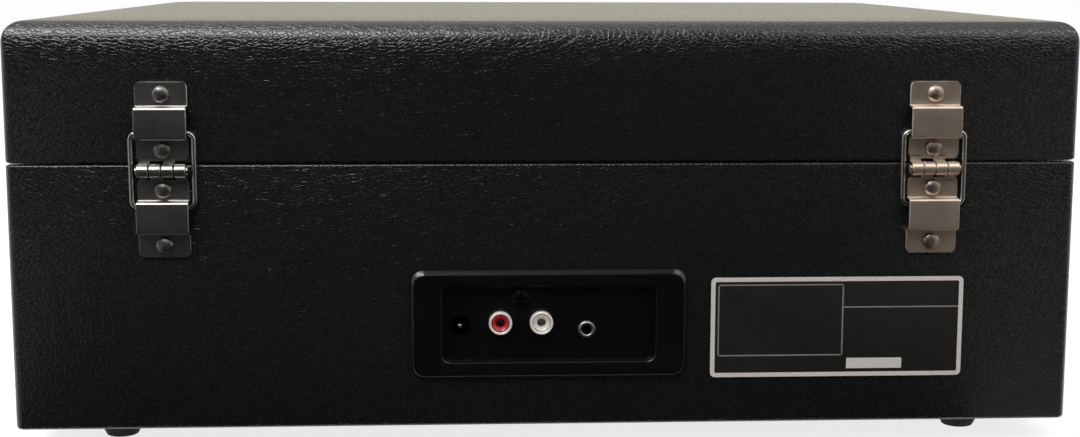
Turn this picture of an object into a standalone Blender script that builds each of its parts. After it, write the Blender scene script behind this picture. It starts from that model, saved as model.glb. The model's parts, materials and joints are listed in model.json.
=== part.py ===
"""Suitcase record player: a lidded case with its hinges, jacks, deck, arm and drive.

Metres, +Z up, +X to the right seen from the front, -Y the front. The origin lies under
the middle of the object's box, on the surface that the feet stand on.
"""

import math

import bmesh
import bpy
from mathutils import Matrix, Vector

# Clearances
GAP = 0.0003
RUN = 0.0008
CUT = 0.002

# Case
CASE_W = 0.385
CASE_D = 0.310
BASE_H = 0.0963
LID_H = 0.0508
SEAM = 0.0007
WALL = 0.009
LEDGE = 0.003
LID_TOP_T = 0.0075
TOP_R = 0.007
CORNER_R = 0.003
EDGE_R = 0.0015
BOARD_T = 0.004

# Feet
FOOT_H = 0.009
FOOT_TOP_R = 0.010
FOOT_END_R = 0.006
FOOT_FROM_SIDE = 0.0325
FOOT_FROM_REAR = 0.027

# Rear hinges: distances D run along the face from the hinge axis
HINGE_FROM_LEFT = 0.0533
HINGE_FROM_RIGHT = 0.0556
HINGE_W = 0.0184
HINGE_BELOW_RIM = 0.0018
HINGE_OFF = 0.0031
LEAF_T = 0.00075
TAB_T = 0.00055
LEAF_EDGE_D = 0.0032
TUNNEL_NEAR_D = 0.0120
TUNNEL_FAR_D = 0.0215
LEAF_END_D = 0.0314
TUNNEL_CLEAR = 0.0040
KNUCKLE_R = 0.0025
KNUCKLE_LEN = 0.0175
PIN_R = 0.0012
RIVET_R = 0.0031
RIVET_H = 0.0016
LOOP_HALF_H = 0.01325
LOOP_SIDE = 0.0019
LOOP_CORNER_R = 0.0025
LOOP_WIRE_R = 0.0009
LOOP_BEFORE_AXIS = 0.00185

# Rear panel with its sockets; places are from the panel's middle
PANEL_W = 0.100
PANEL_H = 0.0397
PANEL_Z = 0.038
PANEL_T = 0.0018
PANEL_CORNER_R = 0.004
TRAY_W = 0.0773
TRAY_H = 0.0278
TRAY_DEPTH = 0.0035
TRAY_WALL = 0.0015
DC_AT = (0.0323, -0.0013)
PHONO_RIGHT_AT = (0.0176, 0.0)
PHONO_LEFT_AT = (0.0027, 0.0)
AUX_AT = (-0.0138, -0.0027)
SCREW_AT = (0.0102, 0.0093)
DC_R = 0.0042
DC_BORE_R = 0.0031
DC_PIN_R = 0.0010
PHONO_R = 0.00425
PHONO_RIM = 0.0008
PHONO_HOLE_R = 0.00175
AUX_R = 0.0032
AUX_HOLE_R = 0.00175
SCREW_R = 0.0032
SCREW_SHANK_R = 0.0014
SOCKET_LEN = 0.010
SOCKET_PROUD = 0.0022
FLANGE_LIP = 0.0010
LABEL_BESIDE = 0.0088
LABEL_H = 0.0375
LABEL_T = 0.0004
LABEL_FROM_SIDE = 0.0403
LABEL_Z = 0.0359

# Front: handle, latches and speakers
HANDLE_HALF_W = 0.048
HANDLE_DROP = 0.031
HANDLE_BELOW_RIM = 0.026
HANDLE_OFF = 0.0090
GRIP_R = 0.0060
HANDLE_ARM_R = 0.0035
HANDLE_SIDES = 12
EYE_R = 0.0045
EYE_LEN = 0.0070
PIVOT_R = 0.0015
EAR_T = 0.0020
BRACKET_T = 0.0015
BRACKET_H = 0.020
LATCH_W = 0.012
LATCH_BELOW_RIM = 0.022
LATCH_OFF = 0.0048
LATCH_HUB_R = 0.0025
LATCH_LEVER_T = 0.0018
LATCH_REACH = 0.033
LATCH_PLATE_T = 0.0012
LATCH_PLATE_H = 0.028
CATCH_T = 0.0012
CATCH_H = 0.014
CATCH_UP = 0.0025
SPEAKER_FROM_SIDE = 0.0545
SPEAKER_Z = 0.046
SPEAKER_R = 0.033
SPEAKER_HOLE_R = 0.029
SPEAKER_DEPTH = 0.030
MAGNET_R = 0.018
GRILLE_W = 0.080
GRILLE_H = 0.060
GRILLE_T = 0.0025
GRILLE_CORNER_R = 0.008
GRILLE_SLOTS = 7
SLOT_H = 0.0035

# Deck and drive
DECK_RECESS = 0.012
DECK_T = 0.0025
PLATTER_T = 0.006
PLATTER_SIDE = 0.0285
PLATTER_Y = 0.005
DRIVE_SPACE = 0.006
DRIVE_RIM_R = 0.054
DRIVE_RIM_T = 0.004
MAT_T = 0.002
MAT_MARGIN = 0.004
SPINDLE_R = 0.0036
SPINDLE_UP = 0.012
SPINDLE_SEAT_R = 0.009
BUSH_R = 0.0075
BUSH_LEN = 0.020
PULLEY_R = 0.006
PULLEY_INSET = 0.020
PULLEY_TURN = 143.0
BELT_T = 0.0008
BELT_H = 0.0028
MOTOR_R = 0.018
MOTOR_H = 0.028
MOTOR_SHAFT_R = 0.001

# Tonearm
ARM_BESIDE = 0.070
ARM_FROM_SIDE = 0.0685
ARM_FROM_REAR = 0.050
ARM_UP = 0.0284
ARM_OVERHANG = 0.012
ARM_R = 0.0040
ARM_TAIL = 0.036
PEDESTAL_R = 0.017
PEDESTAL_H = 0.014
YOKE_R = 0.014
YOKE_DISC_T = 0.003
YOKE_STUB_R = 0.004
YOKE_STUB_LEN = 0.009
YOKE_GAP = 0.0065
YOKE_D = 0.010
HEADSHELL_W = 0.020
HEADSHELL_LEN = 0.036
HEADSHELL_T = 0.004
HEADSHELL_NOSE = 0.008
CARTRIDGE_W = 0.014
CARTRIDGE_LEN = 0.019
CARTRIDGE_H = 0.0078
STYLUS_H = 0.0022
WEIGHT_R = 0.010
WEIGHT_LEN = 0.016
REST_FROM_PIVOT = 0.132
REST_R = 0.005

# Controls on the deck
KNOB_R = 0.013
KNOB_H = 0.013
KNOB_FROM_FRONT = 0.040
KNOB_SHAFT_R = 0.003
VOLUME_BESIDE_ARM = 0.032
KNOB_SPACING = 0.038
SPEED_BESIDE_ARM = 0.0475
SPEED_FROM_REAR = 0.026
SPEED_HUB_R = 0.007
SPEED_H = 0.005
SPEED_FINGER = 0.016
CUE_BESIDE_ARM = 0.032
CUE_Y = 0.030
CUE_UP = 0.008
CUE_HUB_R = 0.0024
CUE_W = 0.007
CUE_LEN = 0.030
BOARD_BELOW_DECK = 0.014
CIRCUIT_T = 0.0016
CIRCUIT_D = 0.032
CIRCUIT_MARGIN = 0.016
POT_W = 0.016

# Levels and places that follow from the sizes above
FRONT_REACH = HANDLE_OFF + GRIP_R
REAR_REACH = HINGE_OFF + KNUCKLE_R
CASE_Y = (FRONT_REACH - REAR_REACH) / 2
FRONT_Y = CASE_Y - CASE_D / 2
REAR_Y = CASE_Y + CASE_D / 2
RIM_Z = FOOT_H + BASE_H
LID_Z = RIM_Z + SEAM
TOP_Z = LID_Z + LID_H
DECK_Z = RIM_Z - DECK_RECESS
DECK_UNDER_Z = DECK_Z - DECK_T
LEDGE_Z = DECK_UNDER_Z - GAP
INNER_X = CASE_W / 2 - WALL
INNER_Y = CASE_D / 2 - WALL
LOW_X = INNER_X - LEDGE
LOW_Y = INNER_Y - LEDGE
HINGE_X = {"left": HINGE_FROM_LEFT - CASE_W / 2, "right": CASE_W / 2 - HINGE_FROM_RIGHT}
HINGE_Y = REAR_Y + HINGE_OFF
HINGE_Z = RIM_Z - HINGE_BELOW_RIM
PANEL_AT_Z = FOOT_H + PANEL_Z
LABEL_W = (CASE_W - PANEL_W) / 2 - LABEL_BESIDE - LABEL_FROM_SIDE
LABEL_X = LABEL_FROM_SIDE + LABEL_W / 2 - CASE_W / 2
TRAY_FLOOR_Y = REAR_Y + GAP + PANEL_T - TRAY_DEPTH
HANDLE_Y = FRONT_Y - HANDLE_OFF
HANDLE_Z = RIM_Z - HANDLE_BELOW_RIM
SPEAKER_X = CASE_W / 2 - SPEAKER_FROM_SIDE
BRACKET_HALF_W = EYE_LEN / 2 + GAP + 2 * EAR_T
LATCH_X = (HANDLE_HALF_W + BRACKET_HALF_W + SPEAKER_X - GRILLE_W / 2) / 2
LATCH_Y = FRONT_Y - LATCH_OFF
LATCH_Z = RIM_Z - LATCH_BELOW_RIM
SPEAKER_AT_Z = FOOT_H + SPEAKER_Z
ARM_X = INNER_X - ARM_FROM_SIDE
PLATTER_R = (ARM_X + INNER_X - PLATTER_SIDE - ARM_BESIDE) / 2
PLATTER_X = PLATTER_SIDE + PLATTER_R - INNER_X
PLATTER_AT_Y = CASE_Y + PLATTER_Y
PLATTER_Z = DECK_Z + DRIVE_SPACE
MAT_Z = PLATTER_Z + PLATTER_T + GAP
PULLEY_OUT = PLATTER_R - PULLEY_INSET
PULLEY_X = PLATTER_X + PULLEY_OUT * math.cos(math.radians(PULLEY_TURN))
PULLEY_Y = PLATTER_AT_Y + PULLEY_OUT * math.sin(math.radians(PULLEY_TURN))
PULLEY_Z = DECK_Z + RUN
PULLEY_H = DRIVE_SPACE - 2 * RUN
ARM_Y = CASE_Y + INNER_Y - ARM_FROM_REAR
ARM_Z = DECK_Z + ARM_UP
ARM_LEN = math.hypot(ARM_X - PLATTER_X, ARM_Y - PLATTER_AT_Y) + ARM_OVERHANG
TIP_Y = ARM_Y - ARM_LEN - HEADSHELL_NOSE
SHELL_REAR_Y = TIP_Y + HEADSHELL_LEN
KNOB_Y = CASE_Y + KNOB_FROM_FRONT - INNER_Y
VOLUME_X = ARM_X - VOLUME_BESIDE_ARM
FUNCTION_X = VOLUME_X - KNOB_SPACING
SPEED_X = ARM_X - SPEED_BESIDE_ARM
SPEED_Y = CASE_Y + INNER_Y - SPEED_FROM_REAR
CUE_X = ARM_X + CUE_BESIDE_ARM
CUE_AT_Y = CASE_Y + CUE_Y
CUE_Z = DECK_Z + CUE_UP
SIDES = {"left": -1, "right": 1}


def material(name, colour, roughness, metallic=0.0):
    """Return a plain finish with one colour."""
    finish = bpy.data.materials.new(name)
    finish.use_nodes = True
    shader = finish.node_tree.nodes["Principled BSDF"]
    shader.inputs["Base Color"].default_value = (*colour, 1.0)
    shader.inputs["Roughness"].default_value = roughness
    shader.inputs["Metallic"].default_value = metallic
    return finish


def circle(radius, z, sides=20):
    """Points of a circle about the Z axis."""
    step = 2 * math.pi / sides
    return [(radius * math.cos(i * step), radius * math.sin(i * step), z) for i in range(sides)]


def turned(profile, sides=20):
    """Rings of a turned piece from its (radius, z) profile."""
    return [circle(radius, z, sides) for radius, z in profile]


def rounded(width, depth, corner, z, steps=3):
    """Points of a rectangle with round corners about the Z axis."""
    points = []
    for side_x, side_y, start in ((1, 1, 0), (-1, 1, 90), (-1, -1, 180), (1, -1, 270)):
        for step in range(steps + 1):
            angle = math.radians(start + 90 * step / steps)
            x = side_x * (width / 2 - corner) + corner * math.cos(angle)
            y = side_y * (depth / 2 - corner) + corner * math.sin(angle)
            points.append((x, y, z))
    return points


def eased_block(width, depth, low, high, low_r, high_r, corner, steps=4):
    """Rings of a block whose bottom and top edges are rounded by their own radii."""
    turns = [math.radians(90 * step / steps) for step in range(steps + 1)]
    levels = [(low + low_r * (1 - math.cos(turn)), low_r * (1 - math.sin(turn))) for turn in turns]
    levels += [(high - high_r * (1 - math.sin(turn)), high_r * (1 - math.cos(turn))) for turn in turns]
    rings = []
    for z, inset in levels:
        left = max(corner - inset, EDGE_R / 3)
        rings.append(rounded(width - 2 * inset, depth - 2 * inset, left, z))
    return rings


def box(width, depth, low, high):
    """Rings of a plain square block."""
    x = width / 2
    y = depth / 2
    corners = ((x, y), (-x, y), (-x, -y), (x, -y))
    return [[(px, py, z) for px, py in corners] for z in (low, high)]


def solid(name, rings, finish=None, closed=False, axis="Z", at=(0, 0, 0)):
    """Make an object by skinning rings, capped at both ends or closed into a loop."""
    shape = bmesh.new()
    loops = [[shape.verts.new(point) for point in ring] for ring in rings]
    following = loops[1:] + loops[:1] if closed else loops[1:]
    for first, second in zip(loops, following):
        for i, vert in enumerate(first):
            j = (i + 1) % len(first)
            shape.faces.new((vert, first[j], second[j], second[i]))
    if not closed:
        shape.faces.new(reversed(loops[0]))
        shape.faces.new(loops[-1])
    bmesh.ops.recalc_face_normals(shape, faces=shape.faces)
    if axis == "X":
        shape.transform(Matrix.Rotation(math.pi / 2, 4, "Y"))
    if axis == "Y":
        shape.transform(Matrix.Rotation(-math.pi / 2, 4, "X"))
    shape.transform(Matrix.Translation(at))
    mesh = bpy.data.meshes.new(name)
    shape.to_mesh(mesh)
    shape.free()
    if finish:
        mesh.materials.append(finish)
    item = bpy.data.objects.new(name, mesh)
    bpy.context.scene.collection.objects.link(item)
    return item


def prism(name, outline, width, at, finish=None):
    """Extrude an outline of (y, z) points along X, centred on at."""
    rings = [[(x, y, z) for y, z in outline] for x in (-width / 2, width / 2)]
    return solid(name, rings, finish, at=at)


def combine(target, tool, operation):
    """Cut a tool out of the target, or join it on, and remove the tool."""
    step = target.modifiers.new(operation, "BOOLEAN")
    step.object = tool
    step.operation = operation
    graph = bpy.context.evaluated_depsgraph_get()
    result = bpy.data.meshes.new_from_object(target.evaluated_get(graph))
    target.modifiers.clear()
    target.data = result
    bpy.data.objects.remove(tool)


def cut(target, rings, axis="Z", at=(0, 0, 0)):
    """Cut a ringed shape out of the target."""
    combine(target, solid("cutter", rings, axis=axis, at=at), "DIFFERENCE")


def join(target, rings, axis="Z", at=(0, 0, 0), closed=False):
    """Join a ringed shape onto the target."""
    combine(target, solid("addition", rings, axis=axis, at=at, closed=closed), "UNION")


def rod(radius, length, sides=12):
    """Rings of a rod centred on the origin along Z."""
    return turned(((radius, -length / 2), (radius, length / 2)), sides)


def smooth(item, angle=35):
    """Shade the round faces of an object smooth and keep its edges crisp."""
    item.data.shade_smooth()
    item.data.set_sharp_from_angle(angle=math.radians(angle))


def pivot(name, point):
    """Make the empty that a moving group turns or slides on."""
    empty = bpy.data.objects.new(name, None)
    empty.location = point
    empty.empty_display_size = GRIP_R
    bpy.context.scene.collection.objects.link(empty)
    return empty


def hang(item, empty):
    """Move an object's origin to its joint and parent it there."""
    item.data.transform(Matrix.Translation(-Vector(empty.location)))
    item.parent = empty


def clear_scene():
    """Remove whatever the scene holds."""
    for item in list(bpy.data.objects):
        bpy.data.objects.remove(item)


def build_base(finish, board_finish):
    """The lower half of the case, open above and below, with a ledge for the deck."""
    shell = solid(
        "base_shell",
        eased_block(CASE_W, CASE_D, FOOT_H, RIM_Z, EDGE_R, EDGE_R, CORNER_R, 2),
        finish,
        at=(0, CASE_Y, 0),
    )
    cut(shell, box(2 * LOW_X, 2 * LOW_Y, FOOT_H - CUT, RIM_Z + CUT), at=(0, CASE_Y, 0))
    cut(shell, box(2 * INNER_X, 2 * INNER_Y, LEDGE_Z, RIM_Z + CUT), at=(0, CASE_Y, 0))
    wall = WALL + LEDGE
    for side in SIDES.values():
        middle = (side * SPEAKER_X, FRONT_Y + wall / 2, SPEAKER_AT_Z)
        cut(shell, rod(SPEAKER_HOLE_R, wall + 2 * CUT, 24), "Y", middle)
    window_w = TRAY_W + 2 * (TRAY_WALL + GAP)
    window_h = TRAY_H + 2 * (TRAY_WALL + GAP)
    window = box(window_w, window_h, -wall / 2 - CUT, wall / 2 + CUT)
    cut(shell, window, "Y", (0, REAR_Y - wall / 2, PANEL_AT_Z))
    board_w = 2 * (LOW_X - GAP)
    board_d = 2 * (LOW_Y - GAP)
    solid(
        "bottom_board",
        box(board_w, board_d, FOOT_H, FOOT_H + BOARD_T),
        board_finish,
        at=(0, CASE_Y, 0),
    )


def build_feet(finish):
    """Four tapered rubber feet under the bottom board."""
    profile = (
        (FOOT_END_R - EDGE_R, 0),
        (FOOT_END_R, EDGE_R),
        (FOOT_TOP_R, FOOT_H - GAP),
    )
    foot_x = CASE_W / 2 - FOOT_FROM_SIDE
    foot_y = CASE_D / 2 - FOOT_FROM_REAR
    for side, sign in SIDES.items():
        for end, direction in (("front", -1), ("rear", 1)):
            at = (sign * foot_x, CASE_Y + direction * foot_y, 0)
            smooth(solid(f"foot_{end}_{side}", turned(profile, 20), finish, at=at))


def build_lid(finish, joint):
    """The lid: a hollow cover with well rounded top edges."""
    lid = solid(
        "lid_shell",
        eased_block(CASE_W, CASE_D, LID_Z, TOP_Z, EDGE_R / 2, TOP_R, CORNER_R),
        finish,
        at=(0, CASE_Y, 0),
    )
    hollow = box(2 * INNER_X, 2 * INNER_Y, LID_Z - CUT, TOP_Z - LID_TOP_T)
    cut(lid, hollow, at=(0, CASE_Y, 0))
    hang(lid, joint)


def leaf_outline(up):
    """Section of a hinge leaf: flat by the knuckle, a raised tunnel, then a flat tab."""
    base = REAR_Y + GAP
    top = REAR_Y + TUNNEL_CLEAR
    ease = LEAF_T
    near = TUNNEL_NEAR_D
    far = TUNNEL_FAR_D
    points = (
        (LEAF_EDGE_D, base),
        (near, base),
        (near, top),
        (far, top),
        (far, base),
        (LEAF_END_D, base),
        (LEAF_END_D, base + LEAF_T),
        (far + LEAF_T, base + LEAF_T),
        (far + LEAF_T, top + LEAF_T - ease),
        (far + LEAF_T - ease, top + LEAF_T),
        (near - LEAF_T + ease, top + LEAF_T),
        (near - LEAF_T, top + LEAF_T - ease),
        (near - LEAF_T, base + LEAF_T),
        (LEAF_EDGE_D, base + LEAF_T),
    )
    return [(y, HINGE_Z + up * distance) for distance, y in points]


def build_leaf(name, x, up, finish):
    """One hinge leaf with its two knuckle rolls and its two riveted domes."""
    leaf = prism(name, leaf_outline(up), HINGE_W, (x, 0, 0), finish)
    segment = KNUCKLE_LEN / 4
    first = 1 if up > 0 else 0
    for index in (first, first + 2):
        middle = x - KNUCKLE_LEN / 2 + segment * (index + 0.5)
        roll = rod(KNUCKLE_R, segment - GAP)
        tab_ends = sorted((0, up * (LEAF_EDGE_D + LEAF_T)))
        tab = box(segment - 2 * GAP, TAB_T, *tab_ends)
        join(leaf, tab, at=(middle, REAR_Y + GAP + LEAF_T / 2, HINGE_Z))
        join(leaf, roll, "X", (middle, HINGE_Y, HINGE_Z))
    cut(leaf, rod(PIN_R + GAP, KNUCKLE_LEN + 2 * CUT), "X", (x, HINGE_Y, HINGE_Z))
    dome = (
        (RIVET_R, -LEAF_T / 2),
        (RIVET_R, RIVET_H * 0.2),
        (RIVET_R * 0.82, RIVET_H * 0.68),
        (RIVET_R * 0.4, RIVET_H),
    )
    near_rivet = (LEAF_EDGE_D + TUNNEL_NEAR_D - LEAF_T) / 2
    far_rivet = (TUNNEL_FAR_D + LEAF_T + LEAF_END_D) / 2
    for distance in (near_rivet, far_rivet):
        at = (x, REAR_Y + GAP + LEAF_T, HINGE_Z + up * distance)
        join(leaf, turned(dome, 12), "Y", at)
    return leaf


def loop_rings():
    """Rings of the check loop: a round wire bent to a rectangle in the XZ plane."""
    width = HINGE_W + 2 * LOOP_SIDE
    path = rounded(width, 2 * LOOP_HALF_H, LOOP_CORNER_R, 0, 4)
    rings = []
    for i, point in enumerate(path):
        before = Vector(path[i - 1])
        after = Vector(path[(i + 1) % len(path)])
        along = (after - before).normalized()
        across = Vector((along.y, -along.x, 0))
        ring = []
        for side in range(8):
            angle = math.radians(45 * side)
            offset = across * math.cos(angle) + Vector((0, 0, math.sin(angle)))
            ring.append(Vector(point) + offset * LOOP_WIRE_R)
        rings.append(ring)
    return rings


def build_hinges(finish, loop_finish, lid_joint):
    """Both rear hinges, each with two leaves, a pin and a check loop."""
    for side, x in HINGE_X.items():
        build_leaf(f"hinge_lower_leaf_{side}", x, -1, finish)
        hang(build_leaf(f"hinge_upper_leaf_{side}", x, 1, finish), lid_joint)
        axis = (x, HINGE_Y, HINGE_Z)
        pin_joint = pivot(f"hinge_pin_{side}_joint", axis)
        pin = solid(f"hinge_pin_{side}", rod(PIN_R, KNUCKLE_LEN), finish, axis="X", at=axis)
        smooth(pin)
        hang(pin, pin_joint)
        at = (x, HINGE_Y - LOOP_BEFORE_AXIS, HINGE_Z)
        loop = solid(f"check_loop_{side}", loop_rings(), loop_finish, True, "Y", at)
        smooth(loop, 60)
        hang(loop, pin_joint)


def socket_hole(panel, place, radius):
    """Cut the hole that a socket's nose comes through."""
    at = (place[0], TRAY_FLOOR_Y, PANEL_AT_Z + place[1])
    cut(panel, rod(radius + GAP, 2 * (TRAY_WALL + CUT)), "Y", at)


def build_jack_panel(finish):
    """The rear panel: a rim on the case and a tray sunk through the window."""
    panel = solid(
        "jack_panel",
        eased_block(PANEL_W, PANEL_H, 0, PANEL_T, PANEL_T / 6, PANEL_T / 2, PANEL_CORNER_R, 2),
        finish,
        axis="Y",
        at=(0, REAR_Y + GAP, PANEL_AT_Z),
    )
    tray_back = TRAY_FLOOR_Y - TRAY_WALL
    tray_depth = REAR_Y + GAP + PANEL_T / 2 - tray_back
    tray = box(TRAY_W + 2 * TRAY_WALL, TRAY_H + 2 * TRAY_WALL, 0, tray_depth)
    join(panel, tray, "Y", (0, tray_back, PANEL_AT_Z))
    recess = box(TRAY_W, TRAY_H, 0, TRAY_DEPTH + CUT)
    cut(panel, recess, "Y", (0, TRAY_FLOOR_Y, PANEL_AT_Z))
    for place, radius in (
        (DC_AT, DC_R),
        (PHONO_RIGHT_AT, PHONO_R),
        (PHONO_LEFT_AT, PHONO_R),
        (AUX_AT, AUX_R),
        (SCREW_AT, SCREW_SHANK_R),
    ):
        socket_hole(panel, place, radius)


def socket_profile(radius, bore, proud):
    """Closed section of a tubular socket with a flange behind the tray floor."""
    back = -TRAY_WALL - SOCKET_LEN
    seat = -TRAY_WALL - GAP
    flange = seat - FLANGE_LIP
    return (
        (bore, back),
        (radius, back),
        (radius, flange),
        (radius + FLANGE_LIP, flange),
        (radius + FLANGE_LIP, seat),
        (radius, seat),
        (radius, proud),
        (bore, proud),
    )


def build_sockets(metal, black, red, white):
    """The sockets and the screw that the rear panel carries."""
    places = (("right", PHONO_RIGHT_AT, red), ("left", PHONO_LEFT_AT, white))
    bore = PHONO_R - PHONO_RIM
    core = bore - GAP
    back = -TRAY_WALL - SOCKET_LEN
    for side, place, colour in places:
        at = (place[0], TRAY_FLOOR_Y, PANEL_AT_Z + place[1])
        rings = turned(socket_profile(PHONO_R, bore, SOCKET_PROUD), 18)
        smooth(solid(f"phono_shell_{side}", rings, metal, True, "Y", at))
        face = SOCKET_PROUD - GAP
        rings = turned(((PHONO_HOLE_R, back), (core, back), (core, face), (PHONO_HOLE_R, face)), 18)
        smooth(solid(f"phono_insert_{side}", rings, colour, True, "Y", at))
    at = (AUX_AT[0], TRAY_FLOOR_Y, PANEL_AT_Z + AUX_AT[1])
    rings = turned(socket_profile(AUX_R, AUX_HOLE_R, SOCKET_PROUD / 2), 18)
    smooth(solid("aux_jack", rings, metal, True, "Y", at))
    at = (DC_AT[0], TRAY_FLOOR_Y, PANEL_AT_Z + DC_AT[1])
    seat = -TRAY_WALL - GAP
    nose = (
        (DC_R, back),
        (DC_R, seat - FLANGE_LIP),
        (DC_R + FLANGE_LIP, seat - FLANGE_LIP),
        (DC_R + FLANGE_LIP, seat),
        (DC_R, seat),
        (DC_R, GAP),
        (DC_BORE_R, GAP),
        (DC_BORE_R, back / 2),
        (DC_PIN_R, back / 2),
        (DC_PIN_R, -GAP),
    )
    smooth(solid("dc_jack", turned(nose, 16), black, axis="Y", at=at))
    at = (SCREW_AT[0], TRAY_FLOOR_Y, PANEL_AT_Z + SCREW_AT[1])
    head = SCREW_R / 2
    screw = (
        (SCREW_SHANK_R, -TRAY_WALL - SOCKET_LEN / 2),
        (SCREW_SHANK_R, GAP),
        (SCREW_R, GAP),
        (SCREW_R, GAP + head / 3),
        (SCREW_R * 0.8, head * 0.85),
        (SCREW_R * 0.4, head),
    )
    smooth(solid("panel_screw", turned(screw, 16), metal, axis="Y", at=at))


def build_label(finish):
    """The blank rating plate on the rear face."""
    outline = eased_block(LABEL_W, LABEL_H, 0, LABEL_T, LABEL_T / 8, LABEL_T / 4, EDGE_R, 1)
    at = (LABEL_X, REAR_Y + GAP, FOOT_H + LABEL_Z)
    solid("rating_plate", outline, finish, axis="Y", at=at)


def handle_rings():
    """Rings of the handle bow, thin at its arms and thick along the grip."""
    half = HANDLE_HALF_W
    drop = HANDLE_DROP
    right = (
        (half * 0.66, -drop, GRIP_R),
        (half * 0.86, -drop * 0.92, (GRIP_R + HANDLE_ARM_R) / 2),
        (half, -drop * 0.6, HANDLE_ARM_R),
        (half, 0, HANDLE_ARM_R),
    )
    stations = [(-x, z, radius) for x, z, radius in reversed(right)] + list(right)
    rings = []
    for i, (x, z, radius) in enumerate(stations):
        last = stations[max(i - 1, 0)]
        following = stations[min(i + 1, len(stations) - 1)]
        along = Vector((following[0] - last[0], 0, following[1] - last[1])).normalized()
        across = Vector((-along.z, 0, along.x))
        ring = []
        for side in range(HANDLE_SIDES):
            angle = 2 * math.pi * side / HANDLE_SIDES
            offset = across * math.cos(angle) + Vector((0, 1, 0)) * math.sin(angle)
            ring.append(Vector((x, 0, z)) + offset * radius)
        rings.append(ring)
    return rings


def ear_pair(target, middle, inside, height, depth, hole):
    """Join two ears to the target either side of a pivot, bored for its pin."""
    for sign in SIDES.values():
        x = middle[0] + sign * (inside + EAR_T / 2)
        join(target, box(EAR_T, depth, -height / 2, height / 2), at=(x, middle[1], middle[2]))
    if hole:
        cut(target, rod(hole, 2 * (inside + EAR_T + CUT)), "X", middle)


def bracket(name, pin_at, inside, height, face_y, thickness, finish):
    """A wall plate with two ears and a pivot pin between them."""
    width = 2 * (inside + 2 * EAR_T)
    plate = box(width, thickness, -height / 2, height / 2)
    plate_y = face_y - GAP - thickness / 2
    item = solid(name, plate, finish, at=(pin_at[0], plate_y, pin_at[2]))
    front = pin_at[1] - 2 * PIVOT_R
    back = plate_y
    middle = (pin_at[0], (front + back) / 2, pin_at[2])
    ear_pair(item, middle, inside, 4 * PIVOT_R, back - front, 0)
    join(item, rod(PIVOT_R, 2 * inside + EAR_T), "X", pin_at)
    return item


def build_handle(finish, metal):
    """The carrying handle, hanging from two brackets on the front."""
    joint = pivot("handle_joint", (0, HANDLE_Y, HANDLE_Z))
    handle = solid("handle", handle_rings(), finish, at=(0, HANDLE_Y, HANDLE_Z))
    for side, sign in SIDES.items():
        at = (sign * HANDLE_HALF_W, HANDLE_Y, HANDLE_Z)
        join(handle, rod(EYE_R, EYE_LEN, 16), "X", at)
        cut(handle, rod(PIVOT_R + GAP, EYE_LEN + 2 * CUT), "X", at)
        inside = EYE_LEN / 2 + GAP
        bracket(f"handle_bracket_{side}", at, inside, BRACKET_H, FRONT_Y, BRACKET_T, metal)
    smooth(handle, 50)
    hang(handle, joint)


def build_latches(finish, lid_joint):
    """Two front latches: a plate with a lever on the base, and a catch on the lid."""
    for side, sign in SIDES.items():
        x = sign * LATCH_X
        at = (x, LATCH_Y, LATCH_Z)
        inside = LATCH_W / 2 + GAP
        bracket(f"latch_plate_{side}", at, inside, LATCH_PLATE_H, FRONT_Y, LATCH_PLATE_T, finish)
        joint = pivot(f"latch_lever_{side}_joint", at)
        lever = solid(f"latch_lever_{side}", rod(LATCH_HUB_R, LATCH_W), finish, axis="X", at=at)
        back = LATCH_LEVER_T / 2
        front = -LATCH_LEVER_T / 2
        tip = LATCH_REACH
        outline = (
            (back, 0),
            (back, tip - LATCH_LEVER_T),
            (front - LATCH_LEVER_T, tip + LATCH_LEVER_T),
            (front - 2 * LATCH_LEVER_T, tip),
            (front, tip - 2 * LATCH_LEVER_T),
            (front, 0),
        )
        blade = prism("blade", outline, LATCH_W, at)
        combine(lever, blade, "UNION")
        cut(lever, rod(PIVOT_R + GAP, LATCH_W + 2 * CUT), "X", at)
        smooth(lever)
        hang(lever, joint)
        low = LID_Z + CATCH_UP
        plate = box(LATCH_W, CATCH_T, 0, CATCH_H)
        plate_y = FRONT_Y - GAP - CATCH_T / 2
        catch = solid(f"latch_catch_{side}", plate, finish, at=(x, plate_y, low))
        bead_front = LATCH_Y + LATCH_LEVER_T / 2 + GAP
        bead_back = plate_y
        middle = (x, (bead_front + bead_back) / 2, low + CATCH_H / 3)
        join(catch, box(LATCH_W * 0.8, bead_back - bead_front, 0, CATCH_H / 4), at=middle)
        hang(catch, lid_joint)


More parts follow.
